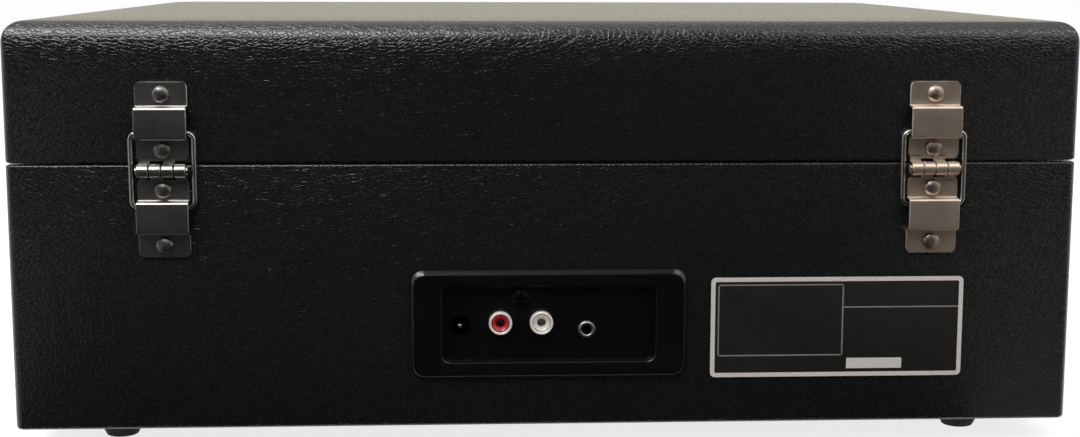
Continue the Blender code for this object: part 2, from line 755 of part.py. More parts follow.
def build_speakers(grille_finish, cone_finish):
    """Two speakers behind the front wall, each under a slotted grille."""
    inside_y = FRONT_Y + WALL + LEDGE + GAP
    profile = (
        (MAGNET_R * 0.4, SPEAKER_DEPTH * 0.4),
        (SPEAKER_HOLE_R - 2 * RUN, RUN),
        (SPEAKER_HOLE_R - RUN, 0),
        (SPEAKER_R, 0),
        (SPEAKER_R, DECK_T),
        (SPEAKER_HOLE_R, 2 * DECK_T),
        (MAGNET_R, SPEAKER_DEPTH * 0.6),
        (MAGNET_R, SPEAKER_DEPTH),
    )
    for side, sign in SIDES.items():
        at = (sign * SPEAKER_X, inside_y, SPEAKER_AT_Z)
        smooth(solid(f"speaker_{side}", turned(profile, 24), cone_finish, axis="Y", at=at))
        rings = eased_block(
            GRILLE_W, GRILLE_H, 0, GRILLE_T, GRILLE_T / 2, GRILLE_T / 8, GRILLE_CORNER_R, 2
        )
        at = (sign * SPEAKER_X, FRONT_Y - GAP - GRILLE_T, SPEAKER_AT_Z)
        grille = solid(f"speaker_grille_{side}", rings, grille_finish, axis="Y", at=at)
        pitch = (GRILLE_H - 2 * GRILLE_CORNER_R) / (GRILLE_SLOTS - 1)
        for index in range(GRILLE_SLOTS):
            z = at[2] + pitch * (index - (GRILLE_SLOTS - 1) / 2)
            slot = box(GRILLE_W - 2 * GRILLE_CORNER_R, SLOT_H, -CUT, GRILLE_T + CUT)
            cut(grille, slot, "Y", (at[0], at[1], z))


def build_deck(finish):
    """The moulded top plate, with its holes and the lugs of the cue lever."""
    deck = solid(
        "deck_plate",
        box(2 * (INNER_X - GAP), 2 * (INNER_Y - GAP), DECK_UNDER_Z, DECK_Z),
        finish,
        at=(0, CASE_Y, 0),
    )
    depth = DECK_T + 2 * CUT
    middle = DECK_Z - DECK_T / 2
    holes = (
        (PLATTER_X, PLATTER_AT_Y, BUSH_R + GAP),
        (PULLEY_X, PULLEY_Y, MOTOR_SHAFT_R + RUN),
        (VOLUME_X, KNOB_Y, KNOB_SHAFT_R + GAP),
        (FUNCTION_X, KNOB_Y, KNOB_SHAFT_R + GAP),
        (SPEED_X, SPEED_Y, KNOB_SHAFT_R + GAP),
    )
    for x, y, radius in holes:
        cut(deck, rod(radius, depth), at=(x, y, middle))
    low = DECK_Z - DECK_T / 2
    high = CUE_Z + 2 * PIVOT_R
    at = (CUE_X, CUE_AT_Y, (low + high) / 2)
    ear_pair(deck, at, CUE_W / 2 + GAP, high - low, 4 * PIVOT_R, 0)
    reach = 2 * (CUE_W / 2 + EAR_T + CUT)
    cut(deck, rod(PIVOT_R + GAP, reach), "X", (CUE_X, CUE_AT_Y, CUE_Z))


def belt_rings():
    """Rings of the flat belt: two arcs, round the drive rim and the pulley, and straights."""
    inner_big = DRIVE_RIM_R + GAP
    inner_small = PULLEY_R + GAP
    lean = math.degrees(math.acos((inner_big - inner_small) / PULLEY_OUT))
    stations = []
    for step in range(33):
        angle = lean + (360 - 2 * lean) * step / 32
        stations.append((0, inner_big, angle))
    for step in range(9):
        angle = -lean + 2 * lean * step / 8
        stations.append((PULLEY_OUT, inner_small, angle))
    rings = []
    low = PULLEY_Z + (PULLEY_H - BELT_H) / 2
    high = low + BELT_H
    for along, inner, angle in stations:
        turn = math.radians(angle)
        ring = []
        outer = inner + BELT_T
        for radius, z in ((inner, low), (outer, low), (outer, high), (inner, high)):
            ring.append((along + radius * math.cos(turn), radius * math.sin(turn), z))
        rings.append(ring)
    return rings


def build_drive(platter_finish, rubber, metal, belt_finish):
    """Platter, mat, spindle and bush, with the motor, its pulley and the belt."""
    middle = (PLATTER_X, PLATTER_AT_Y, 0)
    joint = pivot("platter_joint", middle)
    hole = SPINDLE_R + GAP
    rim_in = DRIVE_RIM_R - DRIVE_RIM_T
    drive_low = DECK_Z + RUN
    high = PLATTER_Z + PLATTER_T
    profile = (
        (hole, PLATTER_Z),
        (rim_in, PLATTER_Z),
        (rim_in, drive_low),
        (DRIVE_RIM_R, drive_low),
        (DRIVE_RIM_R, PLATTER_Z),
        (PLATTER_R - EDGE_R, PLATTER_Z),
        (PLATTER_R, PLATTER_Z + EDGE_R),
        (PLATTER_R, high - EDGE_R),
        (PLATTER_R - EDGE_R, high),
        (hole, high),
    )
    platter = solid("platter", turned(profile, 40), platter_finish, True, at=middle)
    mat_r = PLATTER_R - MAT_MARGIN
    mat_top = MAT_Z + MAT_T
    profile = ((hole, MAT_Z), (mat_r, MAT_Z), (mat_r, mat_top), (hole, mat_top))
    mat = solid("slipmat", turned(profile, 40), rubber, True, at=middle)
    tip = mat_top + SPINDLE_UP
    seat_low = DECK_Z + RUN
    bottom = DECK_UNDER_Z - BUSH_LEN + RUN
    profile = (
        (SPINDLE_R - RUN, bottom),
        (SPINDLE_R, bottom + RUN),
        (SPINDLE_R, seat_low),
        (SPINDLE_SEAT_R, seat_low),
        (SPINDLE_SEAT_R, PLATTER_Z - GAP),
        (SPINDLE_R, PLATTER_Z - GAP),
        (SPINDLE_R, tip - 2 * RUN),
        (SPINDLE_R / 2, tip),
    )
    spindle = solid("spindle", turned(profile, 20), metal, at=middle)
    for item in (platter, mat, spindle):
        smooth(item)
        hang(item, joint)
    top = DECK_Z + RUN - GAP
    flange_high = DECK_UNDER_Z - GAP
    flange_r = BUSH_R + 2 * FLANGE_LIP
    bore = SPINDLE_R + GAP
    low = DECK_UNDER_Z - BUSH_LEN
    profile = (
        (bore, low),
        (BUSH_R, low),
        (BUSH_R, flange_high - FLANGE_LIP),
        (flange_r, flange_high - FLANGE_LIP),
        (flange_r, flange_high),
        (BUSH_R, flange_high),
        (BUSH_R, top),
        (bore, top),
    )
    smooth(solid("bearing_bush", turned(profile, 20), metal, True, at=middle))
    motor_at = (PULLEY_X, PULLEY_Y, 0)
    motor_top = DECK_UNDER_Z - GAP
    profile = (
        (MOTOR_R - EDGE_R, motor_top - MOTOR_H),
        (MOTOR_R, motor_top - MOTOR_H + EDGE_R),
        (MOTOR_R, motor_top),
        (MOTOR_SHAFT_R, motor_top),
        (MOTOR_SHAFT_R, PULLEY_Z + PULLEY_H - RUN),
    )
    smooth(solid("motor", turned(profile, 20), metal, at=motor_at))
    bore = MOTOR_SHAFT_R + GAP
    high = PULLEY_Z + PULLEY_H
    profile = ((bore, PULLEY_Z), (PULLEY_R, PULLEY_Z), (PULLEY_R, high), (bore, high))
    pulley = solid("motor_pulley", turned(profile, 20), platter_finish, True, at=motor_at)
    smooth(pulley)
    hang(pulley, pivot("motor_pulley_joint", motor_at))
    belt = solid("drive_belt", belt_rings(), belt_finish, True)
    belt.data.transform(Matrix.Rotation(math.radians(PULLEY_TURN), 4, "Z"))
    belt.data.transform(Matrix.Translation(middle))
    smooth(belt)


def build_arm(plastic, metal):
    """Tonearm: pedestal, swinging yoke, lifting tube with head, cartridge and weight."""
    middle = (ARM_X, ARM_Y, 0)
    low = DECK_Z + GAP
    high = low + PEDESTAL_H
    profile = (
        (PEDESTAL_R, low),
        (PEDESTAL_R, high - EDGE_R),
        (PEDESTAL_R - EDGE_R, high),
    )
    pedestal = solid("tonearm_pedestal", turned(profile), plastic, at=middle)
    stub_low = high - YOKE_STUB_LEN
    cut(pedestal, turned(((YOKE_STUB_R + GAP, stub_low - GAP), (YOKE_STUB_R + GAP, high + CUT))), at=middle)
    smooth(pedestal)

    swing = pivot("tonearm_swing_joint", (ARM_X, ARM_Y, ARM_Z))
    disc_low = high + GAP
    disc_high = disc_low + YOKE_DISC_T
    profile = (
        (YOKE_STUB_R, stub_low),
        (YOKE_STUB_R, disc_low),
        (YOKE_R, disc_low),
        (YOKE_R, disc_high),
    )
    yoke = solid("tonearm_yoke", turned(profile), plastic, at=middle)
    ear_low = disc_high - YOKE_DISC_T / 2
    ear_high = ARM_Z + 3 * PIVOT_R
    ear_at = (ARM_X, ARM_Y, (ear_low + ear_high) / 2)
    ear_pair(yoke, ear_at, YOKE_GAP, ear_high - ear_low, YOKE_D, 0)
    hole = rod(PIVOT_R + GAP, 2 * (YOKE_GAP + EAR_T + CUT))
    cut(yoke, hole, "X", (ARM_X, ARM_Y, ARM_Z))
    smooth(yoke)
    hang(yoke, swing)

    lift = pivot("tonearm_lift_joint", (0, 0, 0))
    lift.parent = swing
    at = (ARM_X, ARM_Y, ARM_Z)
    front = SHELL_REAR_Y + GAP - ARM_Y
    tube = solid("tonearm_tube", turned(((ARM_R, front), (ARM_R, ARM_TAIL)), 16), metal, axis="Y", at=at)
    join(tube, rod(PIVOT_R, 2 * (YOKE_GAP + EAR_T)), "X", at)
    head_rings = (
        rounded(2 * ARM_R, 2 * ARM_R, ARM_R / 2, 0, 2),
        rounded(HEADSHELL_W, HEADSHELL_T, EDGE_R, HEADSHELL_LEN / 3, 2),
        rounded(HEADSHELL_W, HEADSHELL_T, EDGE_R, HEADSHELL_LEN * 0.85, 2),
        rounded(HEADSHELL_W * 0.7, HEADSHELL_T, EDGE_R, HEADSHELL_LEN, 2),
    )
    head_rings = [[(x, y, -z) for x, y, z in ring] for ring in head_rings]
    head = solid("headshell", head_rings, plastic, axis="Y", at=(ARM_X, SHELL_REAR_Y, ARM_Z))
    body_high = ARM_Z - HEADSHELL_T / 2 - GAP
    body_low = body_high - CARTRIDGE_H
    body_y = SHELL_REAR_Y - HEADSHELL_LEN / 3 - RUN - CARTRIDGE_LEN / 2
    body = eased_block(CARTRIDGE_W, CARTRIDGE_LEN, body_low, body_high, EDGE_R / 2, GAP, EDGE_R, 2)
    cartridge = solid("cartridge", body, plastic, at=(ARM_X, body_y, 0))
    stylus = turned(
        ((GAP, body_low - STYLUS_H), (STYLUS_H, body_low + GAP), (STYLUS_H, body_low + STYLUS_H)), 10
    )
    join(cartridge, stylus, at=(ARM_X, ARM_Y - ARM_LEN, 0))
    weight_far = ARM_TAIL - EDGE_R
    near = weight_far - WEIGHT_LEN
    bore = ARM_R + GAP
    profile = (
        (bore, near),
        (WEIGHT_R - EDGE_R, near),
        (WEIGHT_R, near + EDGE_R),
        (WEIGHT_R, weight_far - EDGE_R),
        (WEIGHT_R - EDGE_R, weight_far),
        (bore, weight_far),
    )
    weight = solid("counterweight", turned(profile), metal, True, "Y", at)
    for item in (tube, head, cartridge, weight):
        smooth(item)
        item.data.transform(Matrix.Translation(-Vector(at)))
        item.parent = lift

    rest_at = (ARM_X, ARM_Y - REST_FROM_PIVOT, 0)
    rest_high = ARM_Z - ARM_R - GAP
    rest = solid("arm_rest", turned(((REST_R, low), (REST_R, rest_high)), 16), plastic, at=rest_at)
    lip_x = rest_at[0] + ARM_R + GAP + EAR_T / 2
    lip = box(EAR_T, REST_R, rest_high - 2 * ARM_R, ARM_Z + ARM_R / 2)
    join(rest, lip, at=(lip_x, rest_at[1], 0))


def knob_rings(radius, height):
    """Rings of a deck knob with its shaft below, from the deck's upper face."""
    profile = (
        (KNOB_SHAFT_R, -DECK_T),
        (KNOB_SHAFT_R, RUN),
        (radius, RUN),
        (radius * 0.94, height - EDGE_R),
        (radius * 0.94 - EDGE_R, height),
    )
    return turned(profile)


def build_controls(finish, board_finish):
    """Knobs, speed lever, cue lever, and the circuit board with its two controls."""
    for name, x in (("volume_knob", VOLUME_X), ("function_knob", FUNCTION_X)):
        at = (x, KNOB_Y, DECK_Z)
        knob = solid(name, knob_rings(KNOB_R, KNOB_H), finish, at=at)
        mark = box(RUN, KNOB_R / 2, KNOB_H - RUN / 2, KNOB_H + CUT)
        cut(knob, mark, at=(x, KNOB_Y + KNOB_R / 2, DECK_Z))
        smooth(knob)
        hang(knob, pivot(f"{name}_joint", at))
    at = (SPEED_X, SPEED_Y, DECK_Z)
    speed = solid("speed_lever", knob_rings(SPEED_HUB_R, SPEED_H), finish, at=at)
    finger = eased_block(
        SPEED_HUB_R / 2, SPEED_FINGER, SPEED_H / 3, SPEED_H * 0.8, RUN / 2, RUN, EDGE_R, 2
    )
    join(speed, finger, at=(SPEED_X, SPEED_Y - SPEED_FINGER / 2 - RUN, DECK_Z))
    smooth(speed)
    hang(speed, pivot("speed_lever_joint", at))
    at = (CUE_X, CUE_AT_Y, CUE_Z)
    cue = solid("cue_lever", rod(CUE_HUB_R, CUE_W), finish, axis="X", at=at)
    join(cue, rod(PIVOT_R, CUE_W + 2 * EAR_T), "X", at)
    outline = (
        (0, PIVOT_R),
        (-CUE_LEN, PIVOT_R + CUE_HUB_R),
        (-CUE_LEN, PIVOT_R),
        (0, -PIVOT_R / 2),
    )
    combine(cue, prism("arm", outline, CUE_W - 2 * RUN, at), "UNION")
    smooth(cue)
    hang(cue, pivot("cue_lever_joint", at))
    high = DECK_UNDER_Z - BOARD_BELOW_DECK
    middle = ((VOLUME_X + FUNCTION_X) / 2, KNOB_Y, 0)
    width = VOLUME_X - FUNCTION_X + 2 * CIRCUIT_MARGIN
    board = box(width, CIRCUIT_D, high - CIRCUIT_T, high)
    circuit = solid("circuit_board", board, board_finish, at=middle)
    pot = box(POT_W, POT_W, high - CIRCUIT_T / 2, DECK_UNDER_Z - GAP)
    for x in (VOLUME_X, FUNCTION_X):
        join(circuit, pot, at=(x, KNOB_Y, 0))


def main():
    """Build the whole player."""
    clear_scene()
    leatherette = material("black_leatherette", (0.022, 0.021, 0.021), 0.55)
    lid_cloth = material("lid_leatherette", (0.024, 0.023, 0.022), 0.55)
    board = material("bottom_board", (0.05, 0.045, 0.04), 0.8)
    rubber = material("black_rubber", (0.015, 0.015, 0.015), 0.85)
    gunmetal = material("gunmetal", (0.22, 0.21, 0.20), 0.38, 1.0)
    wire = material("check_loop_steel", (0.35, 0.33, 0.31), 0.35, 1.0)
    nickel = material("nickel", (0.62, 0.60, 0.56), 0.28, 1.0)
    plastic = material("black_plastic", (0.02, 0.02, 0.021), 0.4)
    red = material("red_insert", (0.55, 0.03, 0.03), 0.4)
    white = material("white_insert", (0.80, 0.79, 0.75), 0.4)
    plate = material("rating_plate", (0.025, 0.025, 0.026), 0.45)
    grip = material("handle_grip", (0.02, 0.02, 0.02), 0.5)
    cone = material("speaker_cone", (0.04, 0.04, 0.042), 0.7)
    deck = material("deck_plastic", (0.035, 0.035, 0.036), 0.45)
    platter = material("platter", (0.06, 0.06, 0.06), 0.4)
    belt = material("belt_rubber", (0.012, 0.012, 0.012), 0.7)
    circuit = material("circuit_board", (0.03, 0.16, 0.06), 0.5)

    lid_joint = pivot("lid_joint", (0, HINGE_Y, HINGE_Z))
    build_base(leatherette, board)
    build_feet(rubber)
    build_lid(lid_cloth, lid_joint)
    build_hinges(gunmetal, wire, lid_joint)
    build_jack_panel(plastic)
    build_sockets(nickel, plastic, red, white)
    build_label(plate)
    build_handle(grip, nickel)
    build_latches(nickel, lid_joint)
    build_speakers(plastic, cone)
    build_deck(deck)
    build_drive(platter, rubber, nickel, belt)
    build_arm(plastic, nickel)
    build_controls(plastic, circuit)
    bpy.context.view_layer.update()


main()
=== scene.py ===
"""Dressed scene of a suitcase record player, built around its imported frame."""

import json
import math

import bmesh
import bpy
from bpy.props import FloatProperty, FloatVectorProperty, IntProperty, PointerProperty
from mathutils import Matrix, Vector


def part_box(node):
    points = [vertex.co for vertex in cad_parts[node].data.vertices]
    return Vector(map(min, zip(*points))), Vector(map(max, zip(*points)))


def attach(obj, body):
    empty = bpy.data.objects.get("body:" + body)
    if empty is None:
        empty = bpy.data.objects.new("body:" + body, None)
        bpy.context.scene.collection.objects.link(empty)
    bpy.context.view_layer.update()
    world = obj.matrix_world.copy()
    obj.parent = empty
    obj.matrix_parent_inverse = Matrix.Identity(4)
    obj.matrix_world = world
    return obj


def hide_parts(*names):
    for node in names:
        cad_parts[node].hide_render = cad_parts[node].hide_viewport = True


bl_info = {
    "name": "Suitcase Record Player",
    "version": (1, 0, 0),
    "blender": (4, 5, 0),
    "location": "View3D > Sidebar > Player",
    "description": "Builds the case, hinges, sockets, deck and arm of a portable record player",
    "category": "Add Mesh",
}

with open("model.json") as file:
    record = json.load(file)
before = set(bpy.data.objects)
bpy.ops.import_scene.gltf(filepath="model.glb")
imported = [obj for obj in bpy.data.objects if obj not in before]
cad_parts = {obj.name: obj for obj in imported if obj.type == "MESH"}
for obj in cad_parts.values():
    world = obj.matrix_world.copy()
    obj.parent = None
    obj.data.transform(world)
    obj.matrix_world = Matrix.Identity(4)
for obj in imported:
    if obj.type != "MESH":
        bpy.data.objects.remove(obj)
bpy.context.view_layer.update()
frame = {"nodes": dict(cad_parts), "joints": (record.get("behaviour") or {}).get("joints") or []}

# Signs along X, and lengths in metres: HAIR is the least clearance or edge
SIDES = {"left": -1, "right": 1}
ENDS = ("front", "rear")
ACROSS = Vector((1, 0, 0))
HAIR = 0.0003
TINY = 1e-6

# Finishes: a wave texture's spacing at scale 1, grain against tone, and the covering's cells
WAVE_LENGTH = 0.314
GRAIN_TO_TONE = 60
NOISE_ROUGH = 0.55
WEAVE_DEPTH = 0.00012
PEBBLE_STRETCH = (0.66, 0.66, 1.0)
CREASE_WIDTH = 0.16

# Lid edge: bends as radius, first and last slope in degrees, from the flat top down
LID_CROWN = (0.55, 90, 87)
LID_BENDS = ((0.0028, 87, 50), (0.011, 50, 15), (0.026, 15, 4), (0.1, 4, 0))

# Case: openings as shares of what stands in them, and the feet's lower end as a share of the upper
SPEAKER_HOLE = 0.88
PANEL_WINDOW = 0.8
FOOT_TAPER = 0.6

# Rear hinges: the first three are distances from the axis along the face
LEAF_START = 0.0032
TUNNEL_START = 0.01125
TUNNEL_END = 0.02225
TUNNEL_RISE = 0.0040
KNUCKLE_R = 0.0025
KNUCKLE_LEN = 0.0175
LOOP_CORNER_R = 0.0025
PIN_HEAD = 0.0007
STRAP_EASE = 0.36

# Rear panel and blank plate
PANEL_CORNER_R = 0.0046
TRAY_W = 0.0773
TRAY_H = 0.0278
TRAY_DEPTH = 0.0035
TRAY_EASE = 0.0006
SOCKET_LIP = 0.0010
SOCKET_BORE = 0.004
PLATE_CORNER_R = 0.0018
PLATE_FRAME_W = 0.049
PLATE_FRAME_H = 0.0295
PLATE_LINE = 0.0005
PLATE_RULE_AT = 0.0112
PLATE_STRIP_TOP = 0.0305
PLATE_STRIP_H = 0.0039
PLATE_STRIP_W = 0.022
INK_RISE = 0.00003
INK_SINK = 0.00002

# Handle, latches and grilles on the front
HANDLE_EYE_LEN = 0.0070
HANDLE_GRIP_R = 0.0060
HANDLE_ARM_R = 0.0035
EAR_T = 0.0020
GRILLE_CORNER_R = 0.008
GRILLE_SLOTS = 7
SLOT_H = 0.0035
CLOTH_THICK = 0.0004
CLOTH_THREAD = 0.0009
CLOTH_SHARE = 0.87
CLOTH_SET_BACK = 0.0025
FITTING_T = 0.0013
PIVOT_R = 0.0015
PIVOT_HEAD_R = 0.0016
LEVER_T = 0.0015
LEVER_TIP_R = 0.003
CATCH_T = 0.0011
CATCH_CORNER_R = 0.002

# Deck, drive, arm and controls
DECK_T = 0.0025
PLATTER_T = 0.006
PLATTER_HOLE_R = 0.0039
PLATTER_EASE = 0.0014
PLATTER_LIP = 0.0035
DRIVE_RIM_R = 0.054
DRIVE_RIM_T = 0.004
MAT_RIB_H = 0.0006
MAT_MIDDLE = 0.36
SPINDLE_R = 0.0036
STUB_R = 0.004
ARM_STEP = 0.003
YOKE_GAP = 0.0065
YOKE_FOOT = 0.005
WEIGHT_EASE = 0.001
WEIGHT_GROOVES = 5
HEAD_T = 0.004
STYLUS_H = 0.0022
KNOB_GAP = 0.0008
PAINT_T = 0.0002
KNOB_SHAFT_R = 0.003
CUE_HUB_R = 0.0024

# Stage: cards are (name, outlines, colour, glow) and lamps (name, place, spans, watts, colour).
# NEAR is just behind the hinges; FAR and CARD_TOP are out of the photograph's view.
SENSOR_MM = 36.0
FLOOR_Z = -0.0002
FLOOR = ((-6, -9, FLOOR_Z), (6, -9, FLOOR_Z), (6, 3, FLOOR_Z), (-6, 3, FLOOR_Z))
FLOOR_GLOW = 0.78
SURROUND_LIGHT = 0.4
NEAR, FAR, CARD_TOP = 0.163, 2.6, 4.0
DARK_LOW = ((-0.16, NEAR, 0), (0.2, NEAR, 0), (1.1, FAR, 0), (-1.1, FAR, 0))
DARK_HIGH = ((-6, FAR, 0), (6, FAR, 0), (6, FAR, CARD_TOP), (-6, FAR, CARD_TOP))
LEFT_LOW = ((-3, NEAR, 0), (-0.16, NEAR, 0), (-1.1, FAR, 0), (-6, FAR, 0))
RIGHT_LOW = ((0.2, NEAR, 0), (3, NEAR, 0), (6, FAR, 0), (1.1, FAR, 0))
BACK_HIGH = ((6, -FAR, 0), (-6, -FAR, 0), (-6, -FAR, CARD_TOP), (6, -FAR, CARD_TOP))
CARDS = (
    ("dark_card", (DARK_LOW, DARK_HIGH), (1.0, 1.0, 1.0), 0.0),
    ("left_card", (LEFT_LOW,), (1.0, 0.9, 0.78), 0.26),
    ("right_card", (RIGHT_LOW,), (0.92, 0.97, 1.0), 0.38),
    ("back_card", (BACK_HIGH,), (1.0, 0.95, 0.81), 0.85),
)
LAMP_AIM = (0, 0.1, 0.08)
LAMPS = (
    ("key_softbox", (0.62, 1.05, 1.42), (1.3, 0.6), 12.8, (0.95, 0.98, 1.0)),
    ("fill_softbox", (-1.3, 1.0, 0.8), (1.0, 1.0), 2.4, (1.0, 0.95, 0.9)),
    ("edge_softbox", (0.6, 0.85, 1.15), (1.3, 0.5), 6.4, (1.0, 0.99, 0.98)),
    ("end_softbox", (-0.75, 0.9, 1.2), (0.7, 0.45), 2.8, (1.0, 0.99, 0.98)),
    ("top_softbox", (0.1, -0.5, 1.6), (1.2, 1.2), 4.0, (1.0, 1.0, 1.0)),
)


def size(label, text, default):
    """A length that a user may change, in metres."""
    return FloatProperty(
        name=label, description=text, default=default, min=0.0, precision=5, unit="LENGTH"
    )


def tint(label, text, default):
    """A colour that a user may change."""
    return FloatVectorProperty(
        name=label, description=text, default=default, size=3, min=0.0, max=1.0, subtype="COLOR"
    )


def turn(label, text, degrees):
    """An angle that a user may change, given in degrees."""
    return FloatProperty(
        name=label, description=text, default=math.radians(degrees), subtype="ANGLE"
    )


def count(label, text, default):
    """A number of ribs that a user may change."""
    return IntProperty(name=label, description=text, default=default, min=2)


def pixels(label, text, default):
    """A pair of pixel counts that a user may change."""
    return FloatVectorProperty(name=label, description=text, default=default, size=2)


class CaseSettings(bpy.types.PropertyGroup):
    """Sizes and colours of the covered case"""

    corner_r: size("Corner radius", "Radius of the upright corners", 0.003)
    lid_edge_r: size("Lid edge radius", "Radius round the ends of the lid's top", 0.0075)
    base_edge_r: size("Base edge radius", "Radius round the foot of the base", 0.0015)
    rim_edge_r: size("Rim radius", "Radius of the rims that meet at the seam", 0.0008)
    wall: size("Wall", "Thickness of the covered walls", 0.009)
    lid_top: size("Lid top", "Thickness of the top of the lid", 0.0075)
    pebble: size("Pebble", "Width of one pebble of the covering", 0.0013)
    pebble_depth: size("Pebble depth", "Height of the covering's grain", 0.00006)
    cover: tint("Covering", "Colour of the pebbled covering", (0.0055, 0.0059, 0.0063))
    # The crease colour is painted shade: the covering made darker down in its creases.
    crease_painted_shade: tint("Crease", "Colour down in the creases", (0.003, 0.003, 0.0033))
    lining: tint("Lining", "Colour of the flocked lining", (0.02, 0.019, 0.019))
    board: tint("Board", "Colour of the bottom board", (0.05, 0.043, 0.036))
    rubber: tint("Rubber", "Colour of the feet", (0.013, 0.013, 0.013))


class HingeSettings(bpy.types.PropertyGroup):
    """Sizes and colours of the rear hinges"""

    strap: size("Strap", "Thickness of the pressed leaves", 0.00075)
    bend_r: size("Bend radius", "Radius of the strap's bends", 0.0008)
    corner_r: size("Leaf corner", "Radius of the leaf's corners", 0.0022)
    rivet_r: size("Rivet radius", "Radius of the rivet domes", 0.0031)
    rivet_h: size("Rivet height", "Height of the rivet domes", 0.0017)
    # The two hinges are one steel: the left colour is lighter with painted light and the right
    # colour darker with painted shade, for how light falls on each.
    left_metal_painted_light: tint("Left leaf", "Darkened steel of the left hinge", (0.76, 0.635, 0.53))
    right_metal_painted_shade: tint("Right leaf", "Darkened steel of the right hinge", (0.42, 0.4, 0.375))
    wire: tint("Wire", "Drawn wire of the check loops", (0.48, 0.46, 0.435))


class PanelSettings(bpy.types.PropertyGroup):
    """Sizes and colours of the rear panel, its sockets and the blank plate"""

    bevel: size("Bevel", "Width of the panel's bevel along its top", 0.0018)
    side_bevel: size("Side bevel", "Width of the bevel round the other edges", 0.001)
    tray_corner_r: size("Tray corner", "Radius of the tray's corners", 0.0028)
    plate_border: size("Plate border", "Width of the plate's light border", 0.0018)
    plastic: tint("Plastic", "Black moulded plastic", (0.0009, 0.0009, 0.001))
    nickel: tint("Nickel", "Plated socket rims", (0.86, 0.8, 0.76))
    red: tint("Red insert", "Right channel's insert", (0.34, 0.012, 0.02))
    white: tint("White insert", "Left channel's insert", (0.62, 0.565, 0.515))
    plate: tint("Plate", "Foil of the blank plate", (0.013, 0.0122, 0.0112))
    ink: tint("Border", "Light border of the plate", (0.5, 0.465, 0.425))


class FrontSettings(bpy.types.PropertyGroup):
    """Sizes and colours of the handle, latches and speakers"""

    screw_r: size("Screw radius", "Radius of the bracket screws", 0.0019)
    grip: tint("Grip", "Moulded grip of the handle", (0.012, 0.012, 0.0125))
    bright: tint("Bright metal", "Plated fittings", (0.42, 0.405, 0.385))
    grille: tint("Grille", "Moulded grille", (0.012, 0.012, 0.013))
    cloth: tint("Cloth", "Woven cloth behind the slots", (0.03, 0.029, 0.028))
    cone: tint("Cone", "Pressed paper cone", (0.05, 0.048, 0.046))


class DeckSettings(bpy.types.PropertyGroup):
    """Sizes and colours of the deck, platter, arm and controls"""

    mat_ribs: count("Mat ribs", "Rings moulded in the mat", 14)
    knob_ribs: count("Knob ribs", "Grip ribs on a knob", 24)
    deck: tint("Deck", "Fine textured deck plate", (0.018, 0.018, 0.019))
    platter: tint("Platter", "Moulded platter", (0.03, 0.03, 0.031))
    mat: tint("Mat", "Ribbed rubber mat", (0.016, 0.016, 0.016))
    steel: tint("Steel", "Turned steel", (0.52, 0.51, 0.49))
    satin: tint("Satin metal", "Satin tube of the arm", (0.62, 0.61, 0.59))
    arm: tint("Arm plastic", "Moulded arm pieces", (0.014, 0.014, 0.015))
    mark: tint("Mark", "Paint in the pointers", (0.7, 0.7, 0.68))
    laminate: tint("Laminate", "Circuit board", (0.02, 0.11, 0.045))


class StageSettings(bpy.types.PropertyGroup):
    """Camera, floor and light"""

    camera_at: FloatVectorProperty(
        name="Camera",
        description="Where the camera stands",
        default=(0.02733, 0.73083, 0.17507),
        subtype="TRANSLATION",
        unit="LENGTH",
    )
    yaw: turn("Yaw", "Turn from square on", 2.969)
    pitch: turn("Pitch", "Tilt below level", 7.73)
    roll: turn("Roll", "Lean of the frame", 0.163)
    focal_px: FloatProperty(
        name="Focal length", description="In pixels of the frame", default=1607.36
    )
    centre_px: pixels("Centre", "Optical centre in pixels", (555.7, 185.41))
    frame_px: pixels("Frame", "Frame size in pixels", (1080.0, 437.0))
    floor: tint("Floor", "Pale floor", (0.5, 0.5, 0.5))
    backdrop: tint("Backdrop", "Light all round", (1.0, 1.0, 1.0))


def circle(radius, z, sides=48):
    """Points of a circle about the Z axis."""
    step = 2 * math.pi / sides
    return [(radius * math.cos(i * step), radius * math.sin(i * step), z) for i in range(sides)]


def rounded(width, depth, corner, z, steps=6):
    """Points of a rectangle with round corners about the Z axis."""
    corner = max(corner, HAIR / 3)
    points = []
    for side_x, side_y, start in ((1, 1, 0), (-1, 1, 90), (-1, -1, 180), (1, -1, 270)):
        for step in range(steps + 1):
            angle = math.radians(start + 90 * step / steps)
            x = side_x * (width / 2 - corner) + corner * math.cos(angle)
            y = side_y * (depth / 2 - corner) + corner * math.sin(angle)
            points.append((x, y, z))
    return points


def arc(centre, radius, start, end, steps=6):
    """Points of an arc in a plane, with angles in degrees."""
    points = []
    for step in range(steps + 1):
        angle = math.radians(start + (end - start) * step / steps)
        points.append((centre[0] + radius * math.cos(angle), centre[1] + radius * math.sin(angle)))
    return points


def edge(width, depth, corner, radius, z, start, end, steps=5):
    """Rings of a block's rounded edge, whose bend has its middle at a height."""
    rings = []
    for inset, height in arc((radius, z), radius, start, end, steps):
        rings.append(rounded(width - 2 * inset, depth - 2 * inset, corner - inset, height))
    return rings


def eased(width, depth, low, high, low_r, high_r, corner, steps=5):
    """Rings of a block with rounded upright corners and its own radius below and above."""
    foot = edge(width, depth, corner, low_r, low + low_r, 270, 180, steps)
    return foot + edge(width, depth, corner, high_r, high - high_r, 180, 90, steps)


def bent(bends, steps=8):
    """Edge section as (inset, drop), from the foot of the last bend up to the flat."""
    points = [(0.0, 0.0)]
    for radius, start, end in bends:
        run, drop = points[-1]
        first = math.radians(start)
        for step in range(1, steps + 1):
            angle = math.radians(start + (end - start) * step / steps)
            ahead = radius * (math.cos(angle) - math.cos(first))
            down = radius * (math.sin(first) - math.sin(angle))
            points.append((run + ahead, drop + down))
    reach = points[-1][0]
    return [(reach - run, drop) for run, drop in reversed(points)]


def inset_at(section, drop):
    """Inset of an edge section at a drop below the flat."""
    for (inset, below), (further, above) in zip(section, section[1:]):
        if above <= drop <= below:
            return further + (inset - further) * (drop - above) / (below - above)
    return 0.0


